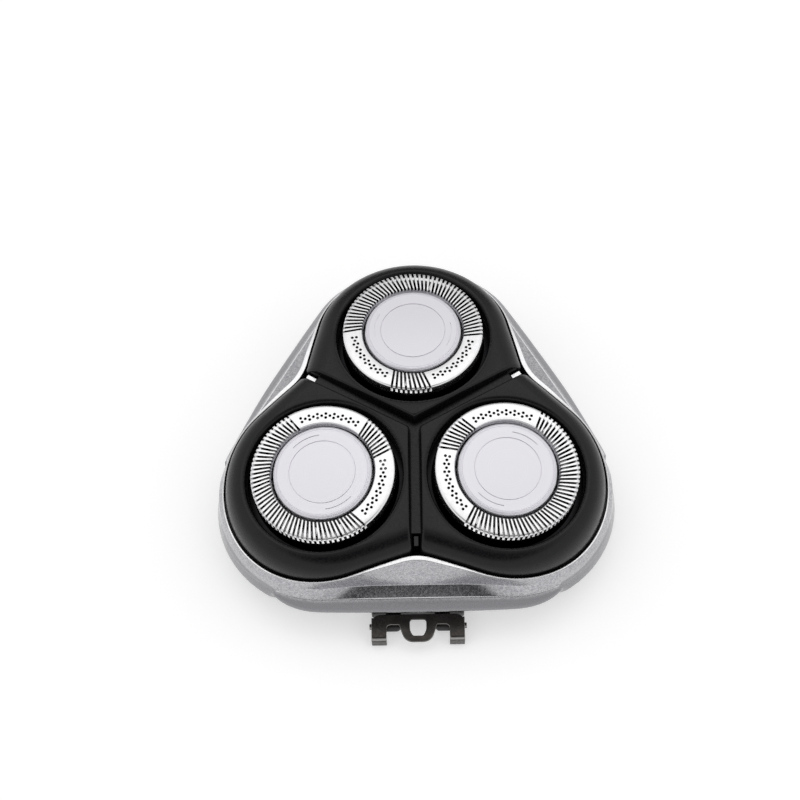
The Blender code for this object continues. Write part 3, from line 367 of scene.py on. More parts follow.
def turned(bm, profile, steps=TURNED_STEPS, closed=True, matrix=UNMOVED):
    """A profile of (radius, height) points turned round Z. A closed one leaves a hole in the middle."""
    rows = []
    for i in range(steps):
        turn = matrix @ rotation(360.0 * i / steps, "Z")
        rows.append([bm.verts.new(turn @ Vector((radius, 0.0, height))) for radius, height in profile])
    count = len(profile)
    for i in range(steps):
        here = rows[i]
        there = rows[(i + 1) % steps]
        for k in range(count if closed else count - 1):
            n = (k + 1) % count
            bm.faces.new((here[k], here[n], there[n], there[k]))


def box_mesh(bm, low, high, matrix=UNMOVED):
    """Adds a box between two corners to the bmesh."""
    low = Vector(low)
    high = Vector(high)
    place = Matrix.Translation((low + high) / 2.0) @ Matrix.Diagonal((*(high - low), 1.0))
    bmesh.ops.create_cube(bm, size=1.0, matrix=matrix @ place)


def rod_mesh(bm, radius, start, end, segments=ROD_STEPS):
    """Adds a capped cylinder between two points to the bmesh."""
    start = Vector(start)
    end = Vector(end)
    line = end - start
    turn = line.to_track_quat("Z", "Y").to_matrix().to_4x4()
    place = Matrix.Translation((start + end) / 2.0) @ turn
    bmesh.ops.create_cone(bm, cap_ends=True, segments=segments, radius1=radius, radius2=radius,
                          depth=line.length, matrix=place)


def prism(bm, outline, levels):
    """Adds the outline, given in plan, between two heights."""
    loft(bm, [[(point.x, point.y, height) for point in outline] for height in levels])


def arc_points(middle, radii, start, end):
    """Points of an arc between two angles in degrees. The two radii are along and across."""
    angles = [math.radians(blend(i / (2 * EDGE_PIECES), start, end)) for i in range(2 * EDGE_PIECES + 1)]
    return [(middle[0] + radii[0] * math.cos(angle), middle[1] + radii[1] * math.sin(angle))
            for angle in angles]


def curve_points(start, corner, end, pieces=EDGE_PIECES):
    """Points of a curve from start to end that leaves the corner on its outer side."""
    shares = [k / pieces for k in range(pieces + 1)]
    return [start * (1.0 - share) ** 2 + corner * (2.0 * share * (1.0 - share)) + end * share ** 2
            for share in shares]


def rounded(corners, reaches, pieces=EDGE_PIECES, limit=ROUNDING_LIMIT):
    """A closed outline with each corner replaced by a curve that starts that far before it.

    The limit is the share of a side that a curve may take. A corner with no reach stays as it is.
    """
    points = []
    for i, corner in enumerate(corners):
        if not reaches[i]:
            points.append(corner)
            continue
        before = corners[i - 1] - corner
        after = corners[(i + 1) % len(corners)] - corner
        start = corner + before * min(limit, reaches[i] / max(before.length, WELD))
        end = corner + after * min(limit, reaches[i] / max(after.length, WELD))
        points += curve_points(start, corner, end, pieces)
    return points


def rounded_profile(corners, pieces=EDGE_PIECES):
    """A turned profile from (radius, height, rounding) corners."""
    outline = rounded([Vector((radius, height)) for radius, height, reach in corners],
                      [reach for radius, height, reach in corners], pieces)
    return [(point.x, point.y) for point in outline]


def combine(obj, name, build, operation="DIFFERENCE"):
    """Cuts the shape that the function build makes out of the object, or unites the two."""
    modifier = obj.modifiers.new(name, "BOOLEAN")
    modifier.operation = operation
    modifier.solver = "EXACT"
    modifier.object = shape(name, build)


def bevelled(obj, width, segments=3):
    """Rounds the object's sharp edges by that many millimetres."""
    bevel = obj.modifiers.new("Edges", "BEVEL")
    bevel.width = width * MM
    bevel.segments = segments
    bevel.limit_method = "ANGLE"
    bevel.harden_normals = False
    return bevel


def applied(obj):
    """Applies the object's modifiers to its mesh and removes the shapes that they used."""
    bpy.context.view_layer.update()
    depsgraph = bpy.context.evaluated_depsgraph_get()
    mesh = bpy.data.meshes.new_from_object(obj.evaluated_get(depsgraph))
    tools = [modifier.object for modifier in obj.modifiers if modifier.type == "BOOLEAN"]
    obj.modifiers.clear()
    obj.data = mesh
    for tool in tools:
        bpy.data.objects.remove(tool)
    return obj


def finished(obj, body, slot, node_name, matrix=UNMOVED):
    """Puts the piece in its place, gives it its finish and lets it ride on a body in place of a CAD node.

    The vertices keep their place in the piece itself as the attribute "place", for its finish.
    """
    mesh = obj.data
    place = mesh.attributes.new("place", "FLOAT_VECTOR", "POINT")
    numbers = [number for vertex in mesh.vertices for number in vertex.co]
    place.data.foreach_set("vector", numbers)
    placed = UNIT @ matrix
    placed.translation *= MM
    mesh.transform(placed)
    mesh.shade_smooth()
    mesh.set_sharp_from_angle(angle=math.radians(SMOOTH_ANGLE))
    mesh.materials.clear()
    mesh.materials.append(FINISHES[slot])
    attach(obj, body)
    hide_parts(node_name)


def for_each_head(obj, name, body, slot, cad_name, turns=NO_TURN):
    """Finishes a copy of the object for each head and removes the object."""
    for head, place in HEAD_PLACES.items():
        piece = add_object(f"{name}_{head}", obj.data.copy())
        finished(piece, f"{body}_{head}", slot, f"{cad_name}_{head}", place @ rotation(turns[head], "Z"))
    bpy.data.objects.remove(obj)


def smooth_step(value, limits):
    """0 below the lower limit, 1 above the upper one, and smooth between them."""
    low, high = limits
    share = min(1.0, max(0.0, (value - low) / (high - low)))
    return share * share * (3.0 - 2.0 * share)


def blend(share, at_side, at_corner):
    return at_side + share * (at_corner - at_side)


# Materials

def new_material(name, colour, roughness, metallic):
    mat = bpy.data.materials.new(name)
    mat.use_nodes = True
    shader_input(mat, "Base Color").default_value = (*colour, 1.0)
    shader_input(mat, "Roughness").default_value = roughness
    shader_input(mat, "Metallic").default_value = metallic
    return mat


def shader_input(mat, name):
    return mat.node_tree.nodes["Principled BSDF"].inputs[name]


def node(mat, kind, settings=None, values=None):
    made = mat.node_tree.nodes.new(kind)
    for key, value in (settings or {}).items():
        setattr(made, key, value)
    for key, value in (values or {}).items():
        made.inputs[key].default_value = value
    return made


def link(mat, output, socket):
    mat.node_tree.links.new(output, socket)


def object_point(mat):
    return node(mat, "ShaderNodeTexCoord").outputs["Object"]


def own_place(mat):
    """Point in the piece itself, measured from its own axis."""
    return node(mat, "ShaderNodeAttribute", {"attribute_name": "place"}).outputs["Vector"]


def noise(mat, point, scale):
    """Cloudy values about 0.5. The scale is in patterns per metre."""
    made = node(mat, "ShaderNodeTexNoise", values={"Scale": scale, "Detail": CLOUD_DETAIL})
    link(mat, point, made.inputs["Vector"])
    return made.outputs["Fac"]


def ranged(mat, value, low, high, start=CLOUD_LIMITS[0], end=CLOUD_LIMITS[1]):
    """The value from start to end as one from low to high."""
    made = node(mat, "ShaderNodeMapRange", {"interpolation_type": "SMOOTHSTEP"}, {
        "From Min": start, "From Max": end, "To Min": low, "To Max": high})
    link(mat, value, made.inputs["Value"])
    return made.outputs["Result"]


def coloured(mat, share, dark, light):
    """Gives the shader a colour between dark and light by the share."""
    made = node(mat, "ShaderNodeMix", {"data_type": "RGBA"})
    made.inputs["A"].default_value = (*dark, 1.0)
    made.inputs["B"].default_value = (*light, 1.0)
    link(mat, share, made.inputs["Factor"])
    link(mat, made.outputs["Result"], shader_input(mat, "Base Color"))


def recoloured(mat, share, colour):
    """Changes the shader's colour to another one by the share."""
    base = shader_input(mat, "Base Color")
    before = base.links[0].from_socket
    coloured(mat, share, colour, colour)
    link(mat, before, base.links[0].from_node.inputs["A"])


def roughened(mat, value, low, high):
    link(mat, ranged(mat, value, low, high), shader_input(mat, "Roughness"))


def bumped(mat, value, depth):
    """Raises the surface by the value times the depth in millimetres."""
    made = node(mat, "ShaderNodeBump", values={"Strength": 1.0, "Distance": depth * MM})
    link(mat, value, made.inputs["Height"])
    link(mat, made.outputs["Normal"], shader_input(mat, "Normal"))


def axis_distance(mat):
    """Distance from the piece's own axis."""
    flat = node(mat, "ShaderNodeVectorMath", {"operation": "MULTIPLY"})
    flat.inputs[1].default_value = (1.0, 1.0, 0.0)
    link(mat, own_place(mat), flat.inputs[0])
    length = node(mat, "ShaderNodeVectorMath", {"operation": "LENGTH"})
    link(mat, flat.outputs["Vector"], length.inputs[0])
    return length.outputs["Value"]


def turning_lines(mat, scale):
    """Fine concentric lines, as a tool leaves on a turned face."""
    lines = node(mat, "ShaderNodeTexNoise", {"noise_dimensions": "1D"}, {
        "Scale": scale, "Detail": LINE_DETAIL})
    link(mat, axis_distance(mat), lines.inputs["W"])
    return lines.outputs["Fac"]


def joined(mat, operation, first, second):
    """The result of a mathematical operation on two values."""
    made = node(mat, "ShaderNodeMath", {"operation": operation})
    link(mat, first, made.inputs[0])
    link(mat, second, made.inputs[1])
    return made.outputs["Value"]


def between(mat, value, rise_start, rise_end, fall_start, fall_end):
    """1 where the value is between the two middle limits, falling to 0 at the outer ones."""
    return joined(mat, "MULTIPLY", ranged(mat, value, 0.0, 1.0, rise_start, rise_end),
                  ranged(mat, value, 1.0, 0.0, fall_start, fall_end))


def upright_part(mat, vector):
    parts = node(mat, "ShaderNodeSeparateXYZ")
    link(mat, vector, parts.inputs["Vector"])
    return parts.outputs["Z"]


def below(mat, start, full):
    """0 above the height start and 1 below the height full, in millimetres of the piece itself."""
    return ranged(mat, upright_part(mat, own_place(mat)), 1.0, 0.0, full * MM, start * MM)


def own_rise(mat):
    """How far the surface faces up, as the height of its normal in the piece itself."""
    turn = node(mat, "ShaderNodeVectorTransform", {"vector_type": "NORMAL", "convert_from": "WORLD",
                                                   "convert_to": "OBJECT"})
    link(mat, node(mat, "ShaderNodeNewGeometry").outputs["True Normal"], turn.inputs["Vector"])
    return upright_part(mat, turn.outputs["Vector"])


def clouded(name, dark, light, scale, roughness, roughness_scale, metallic=0.0, grain=None):
    """A finish with soft clouds in its colour and roughness, and a grain of that scale and depth."""
    mat = new_material(name, light, roughness[0], metallic)
    point = object_point(mat)
    coloured(mat, noise(mat, point, scale), dark, light)
    roughened(mat, noise(mat, point, roughness_scale), *roughness)
    if grain:
        bumped(mat, noise(mat, point, grain[0]), grain[1])
    return mat


def silver_paint():
    mat = new_material("silver_paint", (0.42, 0.42, 0.44), 0.26, 0.9)
    shader_input(mat, "Coat Weight").default_value = 0.4
    shader_input(mat, "Coat Roughness").default_value = 0.12
    point = object_point(mat)
    flakes = node(mat, "ShaderNodeTexVoronoi", values={"Scale": 5600.0})
    link(mat, point, flakes.inputs["Vector"])
    spread = node(mat, "ShaderNodeSeparateColor")
    link(mat, flakes.outputs["Color"], spread.inputs["Color"])
    coloured(mat, spread.outputs["Red"], (0.32, 0.32, 0.34), (0.54, 0.54, 0.56))
    # Painted shade: the paint is darker low down, below the shelf
    recoloured(mat, below(mat, *SHADED_FROM), (0.25, 0.25, 0.265))
    # Painted highlight on the level edge round the plate, on the lip's top edge and on two ribs; painted
    # shade in black on the inner side below the rim and on the rib at the hinge
    edges = node(mat, "ShaderNodeAttribute", {"attribute_name": "edge"}).outputs["Fac"]
    recoloured(mat, edges, (0.86, 0.86, 0.87))
    recoloured(mat, ranged(mat, edges, 1.0, 0.0, -1.0, PAINTED_SHADE_END), BLACK)
    link(mat, ranged(mat, spread.outputs["Green"], 0.18, 0.32, 0.0, 1.0), shader_input(mat, "Roughness"))
    bumped(mat, noise(mat, point, 2600.0), 0.008)
    return mat


def black_gloss():
    mat = clouded("black_gloss", (0.003, 0.003, 0.004), (0.008, 0.008, 0.009), 900.0, (0.2, 0.36), 3000.0,
                  grain=MOULDED_GRAIN)
    shader_input(mat, "Specular IOR Level").default_value = 0.3
    return mat


def polished_steel():
    mat = new_material("polished_steel", (0.8, 0.8, 0.81), 0.2, 1.0)
    lines = turning_lines(mat, 3200.0)
    coloured(mat, lines, (0.76, 0.76, 0.77), (0.93, 0.93, 0.94))
    # Painted shade: the slots' walls are coloured black; the guard's wall is coloured black low down too
    in_band = between(mat, axis_distance(mat), *[limit * MM for limit in SLOT_SHADE_RADII])
    slot_shade = joined(mat, "MULTIPLY", in_band, below(mat, *SLOT_SHADE_FROM))
    recoloured(mat, joined(mat, "MAXIMUM", slot_shade, below(mat, *BLACK_WALL_FROM)), BLACK)
    roughened(mat, noise(mat, own_place(mat), 1500.0), 0.16, 0.28)
    bumped(mat, lines, 0.003)
    return mat


def brushed_cap():
    mat = new_material("brushed_cap", (0.8, 0.8, 0.82), 0.4, 0.9)
    lines = turning_lines(mat, 5200.0)
    coloured(mat, lines, (0.76, 0.75, 0.79), (0.84, 0.83, 0.87))
    roughened(mat, lines, 0.36, 0.46)
    bumped(mat, lines, 0.002)
    return mat


def moulded(name, dark, light, roughness):
    """A moulded plastic with a fine grain."""
    limits = [roughness + change for change in MOULDED_ROUGHNESS]
    return clouded(name, dark, light, MOULDED_CLOUDS[0], limits, MOULDED_CLOUDS[1], grain=MOULDED_GRAIN)


def spring_steel():
    mat = clouded("spring_steel", (0.035, 0.032, 0.03), (0.085, 0.078, 0.072), 500.0, (0.26, 0.44), 2800.0,
                  1.0, (5200.0, 0.004))
    # Painted highlight: the clip's rounded edges are made lighter
    recoloured(mat, between(mat, own_rise(mat), *EDGE_HIGHLIGHT_RISE), (0.34, 0.33, 0.32))
    return mat


def screw_steel():
    mat = new_material("screw_steel", (0.5, 0.5, 0.5), 0.35, 1.0)
    coloured(mat, noise(mat, object_point(mat), 900.0), (0.4, 0.4, 0.4), (0.6, 0.6, 0.59))
    return mat


def make_finishes():
    """The finishes by the names of their slots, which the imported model's own materials have too."""
    made = [silver_paint(), black_gloss(), polished_steel(), brushed_cap(), spring_steel(), screw_steel(),
            clouded("blade_steel", (0.5, 0.5, 0.51), (0.68, 0.68, 0.69), 1200.0, (0.2, 0.36), 2600.0, 1.0),
            moulded("carrier_plastic", (0.62, 0.63, 0.62), (0.74, 0.75, 0.74), 0.48),
            moulded("retainer_plastic", (0.035, 0.035, 0.04), (0.055, 0.055, 0.06), 0.42),
            moulded("knob_plastic", (0.27, 0.28, 0.29), (0.35, 0.36, 0.37), 0.42),
            moulded("hinge_plastic", (0.01, 0.009, 0.009), (0.02, 0.018, 0.017), 0.38)]
    return {mat.name.split(".")[0]: mat for mat in made}


# Outlines in plan

def tangent_angle():
    """Angle, at a head's axis, where the lobe's arc ends and the straight run to the waist starts."""
    waist = Vector((math.cos(SIDE_ANGLE), math.sin(SIDE_ANGLE))) * WAIST_RADIUS
    from_axis = waist - Vector((HEAD_PITCH, 0.0))
    return math.atan2(from_axis.y, from_axis.x) - math.acos(LOBE_RADIUS / from_axis.length)


def lobes_radius(off_head, offset=0.0):
    """Distance from the middle of the unit to the lobes' outline, off_head degrees from a head."""
    angle = math.radians(off_head)
    turn = tangent_angle()
    radius = LOBE_RADIUS + offset
    tangent_point = Vector((HEAD_PITCH + radius * math.cos(turn), radius * math.sin(turn)))
    if angle > math.atan2(tangent_point.y, tangent_point.x):
        return (HEAD_PITCH * math.cos(turn) + radius) / math.cos(angle - turn)
    return HEAD_PITCH * math.cos(angle) + math.sqrt(radius ** 2 - (HEAD_PITCH * math.sin(angle)) ** 2)


def edge_radius(off_head, offset):
    """The lobes' outline with the notch between two lobes rounded, as the frame's edge follows it."""
    angle = SIDE_ANGLE - math.radians(off_head)
    turn = tangent_angle()
    lean = turn - SIDE_ANGLE
    middle = (HEAD_PITCH * math.cos(turn) + LOBE_RADIUS + offset + WAIST_FILLET) / math.cos(lean)
    touch = Vector((middle - WAIST_FILLET * math.cos(lean), WAIST_FILLET * math.sin(lean)))
    if angle > math.atan2(touch.y, touch.x):
        return lobes_radius(off_head, offset)
    return middle * math.cos(angle) - math.sqrt(WAIST_FILLET ** 2 - (middle * math.sin(angle)) ** 2)


def triangle_radius(off_head):
    """Distance from the middle of the unit to the rounded triangle that the frame widens to."""
    angle = math.radians(off_head)
    touch = Vector((TRIANGLE_CORNER_PITCH + TRIANGLE_CORNER_RADIUS * math.cos(SIDE_ANGLE),
                    TRIANGLE_CORNER_RADIUS * math.sin(SIDE_ANGLE)))
    if angle > math.atan2(touch.y, touch.x):
        return SIDE_REACH / math.cos(SIDE_ANGLE - angle) - TRIM
    across = TRIANGLE_CORNER_PITCH * math.sin(angle)
    reach = TRIANGLE_CORNER_PITCH * math.cos(angle) + math.sqrt(TRIANGLE_CORNER_RADIUS ** 2 - across ** 2)
    return reach - TRIM


def rim_height(along):
    """Height of the rim between plate and frame, by its distance along the nearest head's azimuth."""
    waist_along = WAIST_RADIUS * math.cos(SIDE_ANGLE)
    tip_along = HEAD_PITCH + LOBE_RADIUS
    share = max(0.0, along - waist_along) / (tip_along - waist_along)
    return CAP_HEIGHT - RIM_DROP_WAIST - share * share * (RIM_DROP_TIP - RIM_DROP_WAIST)


def plate_height(along):
    """Height of a lobe's flat top, which is square to its head's axis."""
    return CAP_HEIGHT - PLATE_DROP - (along - HEAD_PITCH) * math.tan(math.radians(HEAD_TILT))


# Face plate

def is_corner(points, i):
    """Whether the closed outline has a corner at that point."""
    before = (points[i] - points[i - 1]).to_2d()
    after = (points[(i + 1) % len(points)] - points[i]).to_2d()
    if min(before.length, after.length) < WELD:
        return False
    return abs(before.angle(after)) > math.radians(CORNER_ANGLE)


def lobe_ring(roll_angle):
    """One outline of a lobe at azimuth 0, as points, from the rim (0 degrees) to the flat top (90)."""
    roll = 1.0 - math.cos(math.radians(roll_angle))
    rise = math.sin(math.radians(roll_angle))
    radius = LOBE_RADIUS - roll * ROLL_WIDTH
    half_gap = blend(roll, CHANNEL_FLOOR, CHANNEL_TOP) / 2.0
    turn = tangent_angle()
    half = []
    for i in range(LOBE_ARC_POINTS + 1):
        angle = turn * i / LOBE_ARC_POINTS
        half.append((Vector((HEAD_PITCH + radius * math.cos(angle), radius * math.sin(angle))), False))
    along = Vector((-math.sin(turn), math.cos(turn)))
    across = Vector((-math.sin(SIDE_ANGLE), math.cos(SIDE_ANGLE)))
    touch = half[-1][0]
    corner = touch + along * ((-half_gap - touch.dot(across)) / along.dot(across))
    middle = Vector((half_gap / math.sin(SIDE_ANGLE), 0.0))
    half.append((touch.lerp(corner, 0.5), False))
    half.append((corner, False))
    half.append((corner.lerp(middle, 0.5), True))
    ring = [(Vector((point.x, -point.y)), beside_channel) for point, beside_channel in half[1:]]
    ring.reverse()
    ring = ring + half
    ring.append((middle, True))
    points = []
    for point, beside_channel in ring:
        foot = CHANNEL_HEIGHT if beside_channel else rim_height(point.x)
        points.append(Vector((point.x, point.y, blend(rise, foot, plate_height(point.x)))))
    reaches = [LOBE_CORNER if is_corner(points, i) else 0.0 for i in range(len(points))]
    return rounded(points, reaches, limit=math.inf)


def lobe(bm, azimuth):
    base = [(point.x, point.y, PLATE_UNDERSIDE) for point in lobe_ring(0.0)]
    rolls = [lobe_ring(90.0 * i / ROLL_STEPS) for i in range(ROLL_STEPS + 1)]
    loft(bm, [base] + rolls, matrix=rotation(azimuth, "Z"))


def opening_profile():
    """From the mouth of an opening over its rounded edge and the guard's seat down through the plate."""
    width, depth = OPENING_EDGE
    mouth = OPENING_RADIUS + width
    foot = -PLATE_DEPTH - PAST
    edge = curve_points(Vector((mouth, -PLATE_DROP + NUDGE)), Vector((OPENING_RADIUS, -PLATE_DROP)),
                        Vector((OPENING_RADIUS, -PLATE_DROP - depth)))
    return [(0.0, PAST), (mouth, PAST), *((point.x, point.y) for point in edge),
            (OPENING_RADIUS, -SEAT_DROP), (SEAT_RADIUS, -SEAT_DROP), (SEAT_RADIUS, foot), (0.0, foot)]


def build_face_plate():
    half = CHANNEL_FLOOR / 2.0 + SINK
    arm_end = WAIST_RADIUS - RIB_START - GAP
    plate = shape("plate_gloss", lambda bm: lobe(bm, HEADS["top"]))
    for head in ("left", "right"):
        combine(plate, f"lobe_{head}", lambda bm: lobe(bm, HEADS[head]), "UNION")
    for azimuth in SIDE_AZIMUTHS:
        combine(plate, "channel_floor", lambda bm: box_mesh(
            bm, (-SINK, -half, PLATE_UNDERSIDE + GAP), (arm_end, half, CHANNEL_HEIGHT),
            rotation(azimuth, "Z")), "UNION")
    combine(plate, "hub_recess", lambda bm: rod_mesh(
        bm, HUB_RADIUS + GAP, (0.0, 0.0, PLATE_UNDERSIDE - PAST), (0.0, 0.0, HUB_TOP + GAP), TURNED_STEPS))
    combine(plate, "stud", lambda bm: rod_mesh(
        bm, STUD_RADIUS, (0.0, 0.0, STUD_FOOT), (0.0, 0.0, HUB_TOP + GAP + SINK), TURNED_STEPS), "UNION")
    combine(plate, "lugs", lambda bm: box_mesh(
        bm, (-LUG_LENGTH / 2.0, -LUG_WIDTH / 2.0, STUD_FOOT - NUDGE),
        (LUG_LENGTH / 2.0, LUG_WIDTH / 2.0, STUD_FOOT + LUG_THICKNESS)), "UNION")
    for place in HEAD_PLACES.values():
        combine(plate, "opening", lambda bm: turned(bm, opening_profile(), OPENING_STEPS, False, place))
    finished(applied(plate), "frame", "black_gloss", "face_plate")


# Outer frame

def angle_between(azimuth, other):
    return abs((azimuth - other + 180.0) % 360.0 - 180.0)


def frame_corners(azimuth):
    """Corners of the frame's section at one azimuth, from its inner top edge round and back."""
    off_head = min(angle_between(azimuth, head) for head in HEADS.values())
    off_side = math.degrees(SIDE_ANGLE) - off_head
    lobes = lobes_radius(off_head)
    triangle = triangle_radius(off_head)
    inner_top = edge_radius(off_head, GAP)
    outer_top = inner_top + blend(smooth_step(off_side, LAND_BLEND), WAIST_LAND, FRAME_LAND)
    rim = rim_height(lobes * math.cos(math.radians(off_head)))

    # Upper wall, from the rim out to the shelf at a side and to the cheek at a corner
    cheek_share = smooth_step(off_side, SHELF_BLEND)
    shelf = CAP_HEIGHT - SHELF_DROP
    cheek = CAP_HEIGHT - blend(smooth_step(off_side, CORNER_BLEND), CHEEK_FLANK_DROP, CHEEK_TIP_DROP)
    crease = blend(cheek_share, SHELF_RADIUS / math.cos(math.radians(off_side)), triangle - CHEEK_INSET)
    crease_height = blend(cheek_share, shelf, cheek)

    # Outer wall: a lip that bulges out under the shelf, and a plain wall under a cheek
    is_widest = min(angle_between(azimuth, widest) for widest in WIDEST_AZIMUTHS) < WIDEST_REACH
    half_angle, power, notch = WIDEST_END if is_widest else LIP_END
    wall_share = smooth_step(off_side, notch)
    within = max(0.0, 1.0 - (off_side / half_angle) ** power)
    edge_height = blend(wall_share, shelf - SHELF_FALL, CAP_HEIGHT - WALL_DROPS[0])
    edge = blend(wall_share, triangle - SHELF_EDGE_INSET, triangle - WALL_LEAN[0])
    lip = blend(wall_share, triangle + BULGE * within, triangle - WALL_LEAN[1])
    lip_height = shelf - SHELF_FALL - LIP_STEP - within * (BULGE_DROP - SHELF_DROP - SHELF_FALL - LIP_STEP)
    lip_foot = CAP_HEIGHT - BULGE_DROP - LIP_HEIGHT
    foot_at_side = triangle - LIP_FOOT_INSET + LIP_FOOT_SHARE * BULGE * within
    rear_rim = triangle - RIM_INSET
    return [(inner_top, rim), (outer_top, rim), (crease, crease_height),
            (edge - LIP_FLAT * (1.0 - wall_share), edge_height + wall_share * LIP_FLAT),
            (edge, edge_height), (lip, blend(wall_share, lip_height, CAP_HEIGHT - WALL_DROPS[1])),
            (blend(wall_share, foot_at_side, triangle), lip_foot),
            (rear_rim, 0.0), (rear_rim - WALL, 0.0),
            (rear_rim - INNER_WALL_SHARE * WALL, lip_foot + INNER_WALL_RISE),
            (lobes - LEDGE_INSET, LEDGE_TOP - LEDGE_THICKNESS), (lobes - LEDGE_INSET, LEDGE_TOP),
            (inner_top, LEDGE_TOP)]


def frame_section(azimuth):
    """The frame's section at one azimuth with its corners rounded."""
    outline = rounded([Vector(corner) for corner in frame_corners(azimuth)], FRAME_ROUNDING)
    turn = rotation(azimuth, "Z")
    return [turn @ Vector((point.x, 0.0, point.y)) for point in outline]


def painted_edge_light(place):
    """1 for a painted highlight on the level edge round the plate and the two upper ribs, less for one on
    the lip, 0 on the paint and -1 for painted shade on the inner side below the rim and the rib at the
    hinge.
    """
    reach = place.to_2d().length
    corners = frame_corners(math.degrees(math.atan2(place.y, place.x)))
    for first, brightness in ((3, LIP_HIGHLIGHT), (0, 1.0)):
        (start, start_height), (end, end_height) = corners[first:first + 2]
        is_level = abs(start_height - end_height) < EDGE_REACH
        is_high = abs(place.z - end_height) < EDGE_REACH
        if is_level and is_high and start - EDGE_REACH < reach < end + EDGE_REACH:
            return brightness
    inner_edge, rim = corners[0]
    # Only the ribs stand above the rim: two get a painted highlight, the one at the hinge gets painted
    # shade
    if place.z > rim + EDGE_REACH:
        return 1.0 if place.y > 0.0 else -1.0
    # Painted shade on the inner side below the rim
    return -1.0 if place.z < rim - PAINTED_SHADE_DROP and reach < inner_edge + EDGE_REACH else 0.0


def mark_painted_edge_light(obj):
    values = [painted_edge_light(vertex.co / MM) for vertex in obj.data.vertices]
    obj.data.attributes.new("edge", "FLOAT", "POINT").data.foreach_set("value", values)


def screw_axes(bm, radius, low, high):
    """Adds a rod on the axis of each of the two hinge screws."""
    for side in (-1.0, 1.0):
        x = side * SCREW_OFFSET
        rod_mesh(bm, radius, (x, -SCREW_REACH, low), (x, -SCREW_REACH, high))


def waist_boxes(bm, start, half, low, high):
    """Adds a box at each waist, from so far inside it to where the ribs end."""
    for azimuth in SIDE_AZIMUTHS:
        box_mesh(bm, (WAIST_RADIUS - start, -half, low), (WAIST_RADIUS - RIB_END, half, high),
                 rotation(azimuth, "Z"))


def ribs(bm):
    waist_boxes(bm, RIB_START, CHANNEL_FLOOR / 2.0 - GAP, LEDGE_TOP - SINK, CAP_HEIGHT - RIB_DROP)


def rib_feet(bm):
    waist_boxes(bm, *RIB_FOOT, LEDGE_TOP - LEDGE_THICKNESS + NUDGE, LEDGE_TOP - NUDGE)


def bosses_and_catch(bm):
    screw_axes(bm, SCREW_RADIUS + GAP + BOSS_WALL, BLOCK_TOP + GAP, CAP_HEIGHT - SHELF_DROP - SINK)
    half = CATCH_WIDTH / 2.0
    box_mesh(bm, (-half, RIM_INNER_REACH - CATCH_REACH, CATCH_BOTTOM),
             (half, RIM_INNER_REACH + WALL / 2.0, CATCH_TOP))


def hinge_notch(bm):
    half = HINGE_WIDTH / 2.0 + GAP
    box_mesh(bm, (-half, -SIDE_REACH - PAST, -PAST), (half, GAP - BLOCK_BACK, BLOCK_TOP + GAP))


def build_outer_frame():
    frame = shape("frame_paint", lambda bm: loft(
        bm, [frame_section(360.0 * i / FRAME_POINTS) for i in range(FRAME_POINTS)], True))
    for build in (rib_feet, ribs, bosses_and_catch):
        combine(frame, "addition", build, "UNION")
    combine(frame, "notch", hinge_notch)
    combine(frame, "pilot_holes", lambda bm: screw_axes(bm, SCREW_RADIUS + GAP, 0.0, PILOT_TOP))
    mark_painted_edge_light(applied(frame))
    finished(frame, "frame", "silver_paint", "outer_frame")


# Guards and caps

def slot_angles():
    """Angles of the slots: a long row on the outer side and a short one towards the middle."""
    rows = ((0.0, LONG_ROW_SLOTS), (180.0, SHORT_ROW_SLOTS))
    return [centre + (i - (count - 1) / 2.0) * SLOT_PITCH for centre, count in rows for i in range(count)]


def guard_slots(bm):
    middle = (BAND_INNER_RADIUS + GUARD_RADIUS) / 2.0
    reach = GUARD_RADIUS + WALL_DRAFT + SINK
    for angle in slot_angles():
        place = rotation(angle, "Z") @ Matrix.Translation((middle, 0.0, 0.0)) @ rotation(SLOT_SLANT, "Z")
        box_mesh(bm, (SLOT_START - middle, -SLOT_WIDTH / 2.0, -SLOT_DROP),
                 (reach - middle, SLOT_WIDTH / 2.0, SINK), place)


def guard_holes(bm):
    """Small holes in the two plain arcs, in turn a pair and a single one."""
    start, end = HOLE_ARC
    for side in (-1.0, 1.0):
        for i in range(HOLE_STEPS):
            turn = rotation(side * blend(i / (HOLE_STEPS - 1), start, end), "Z")
            for radius in SINGLE_RADII if i % 2 else PAIR_RADII:
                rod_mesh(bm, HOLE_DIAMETER / 2.0, turn @ Vector((radius, 0.0, -SINK - GUARD_WALL)),
                         turn @ Vector((radius, 0.0, SINK)), HOLE_SIDES)


def build_guards():
    inside = GUARD_RADIUS - GUARD_WALL
    bore = STEM_RADIUS + GAP
    flange_top = FLANGE_THICKNESS - GUARD_DEPTH
    recess_under = -RECESS_DEPTH - RECESS_WALL
    corners = [(bore, -RECESS_DEPTH, CRISP), (GROOVE_RADIUS, -RECESS_DEPTH, FINE),
               (BAND_INNER_RADIUS, 0.0, BAND_EDGE), (GUARD_RADIUS, 0.0, GUARD_EDGE),
               (GUARD_RADIUS + WALL_DRAFT, flange_top, SOFT), (FLANGE_RADIUS, flange_top, SOFT),
               (FLANGE_RADIUS, -GUARD_DEPTH, FINE), (inside, -GUARD_DEPTH, CRISP),
               (inside, -GUARD_WALL, CRISP), (BAND_INNER_RADIUS + GAP, -GUARD_WALL, SHARP),
               (GROOVE_RADIUS + GAP, recess_under, SHARP), (bore, recess_under, CRISP)]
    guard = shape("guard", lambda bm: turned(bm, rounded_profile(corners), GUARD_STEPS))
    combine(guard, "slots", guard_slots)
    combine(guard, "holes", guard_holes)
    for_each_head(applied(guard), "foil", "float", "polished_steel", "guard", GUARD_TURN)


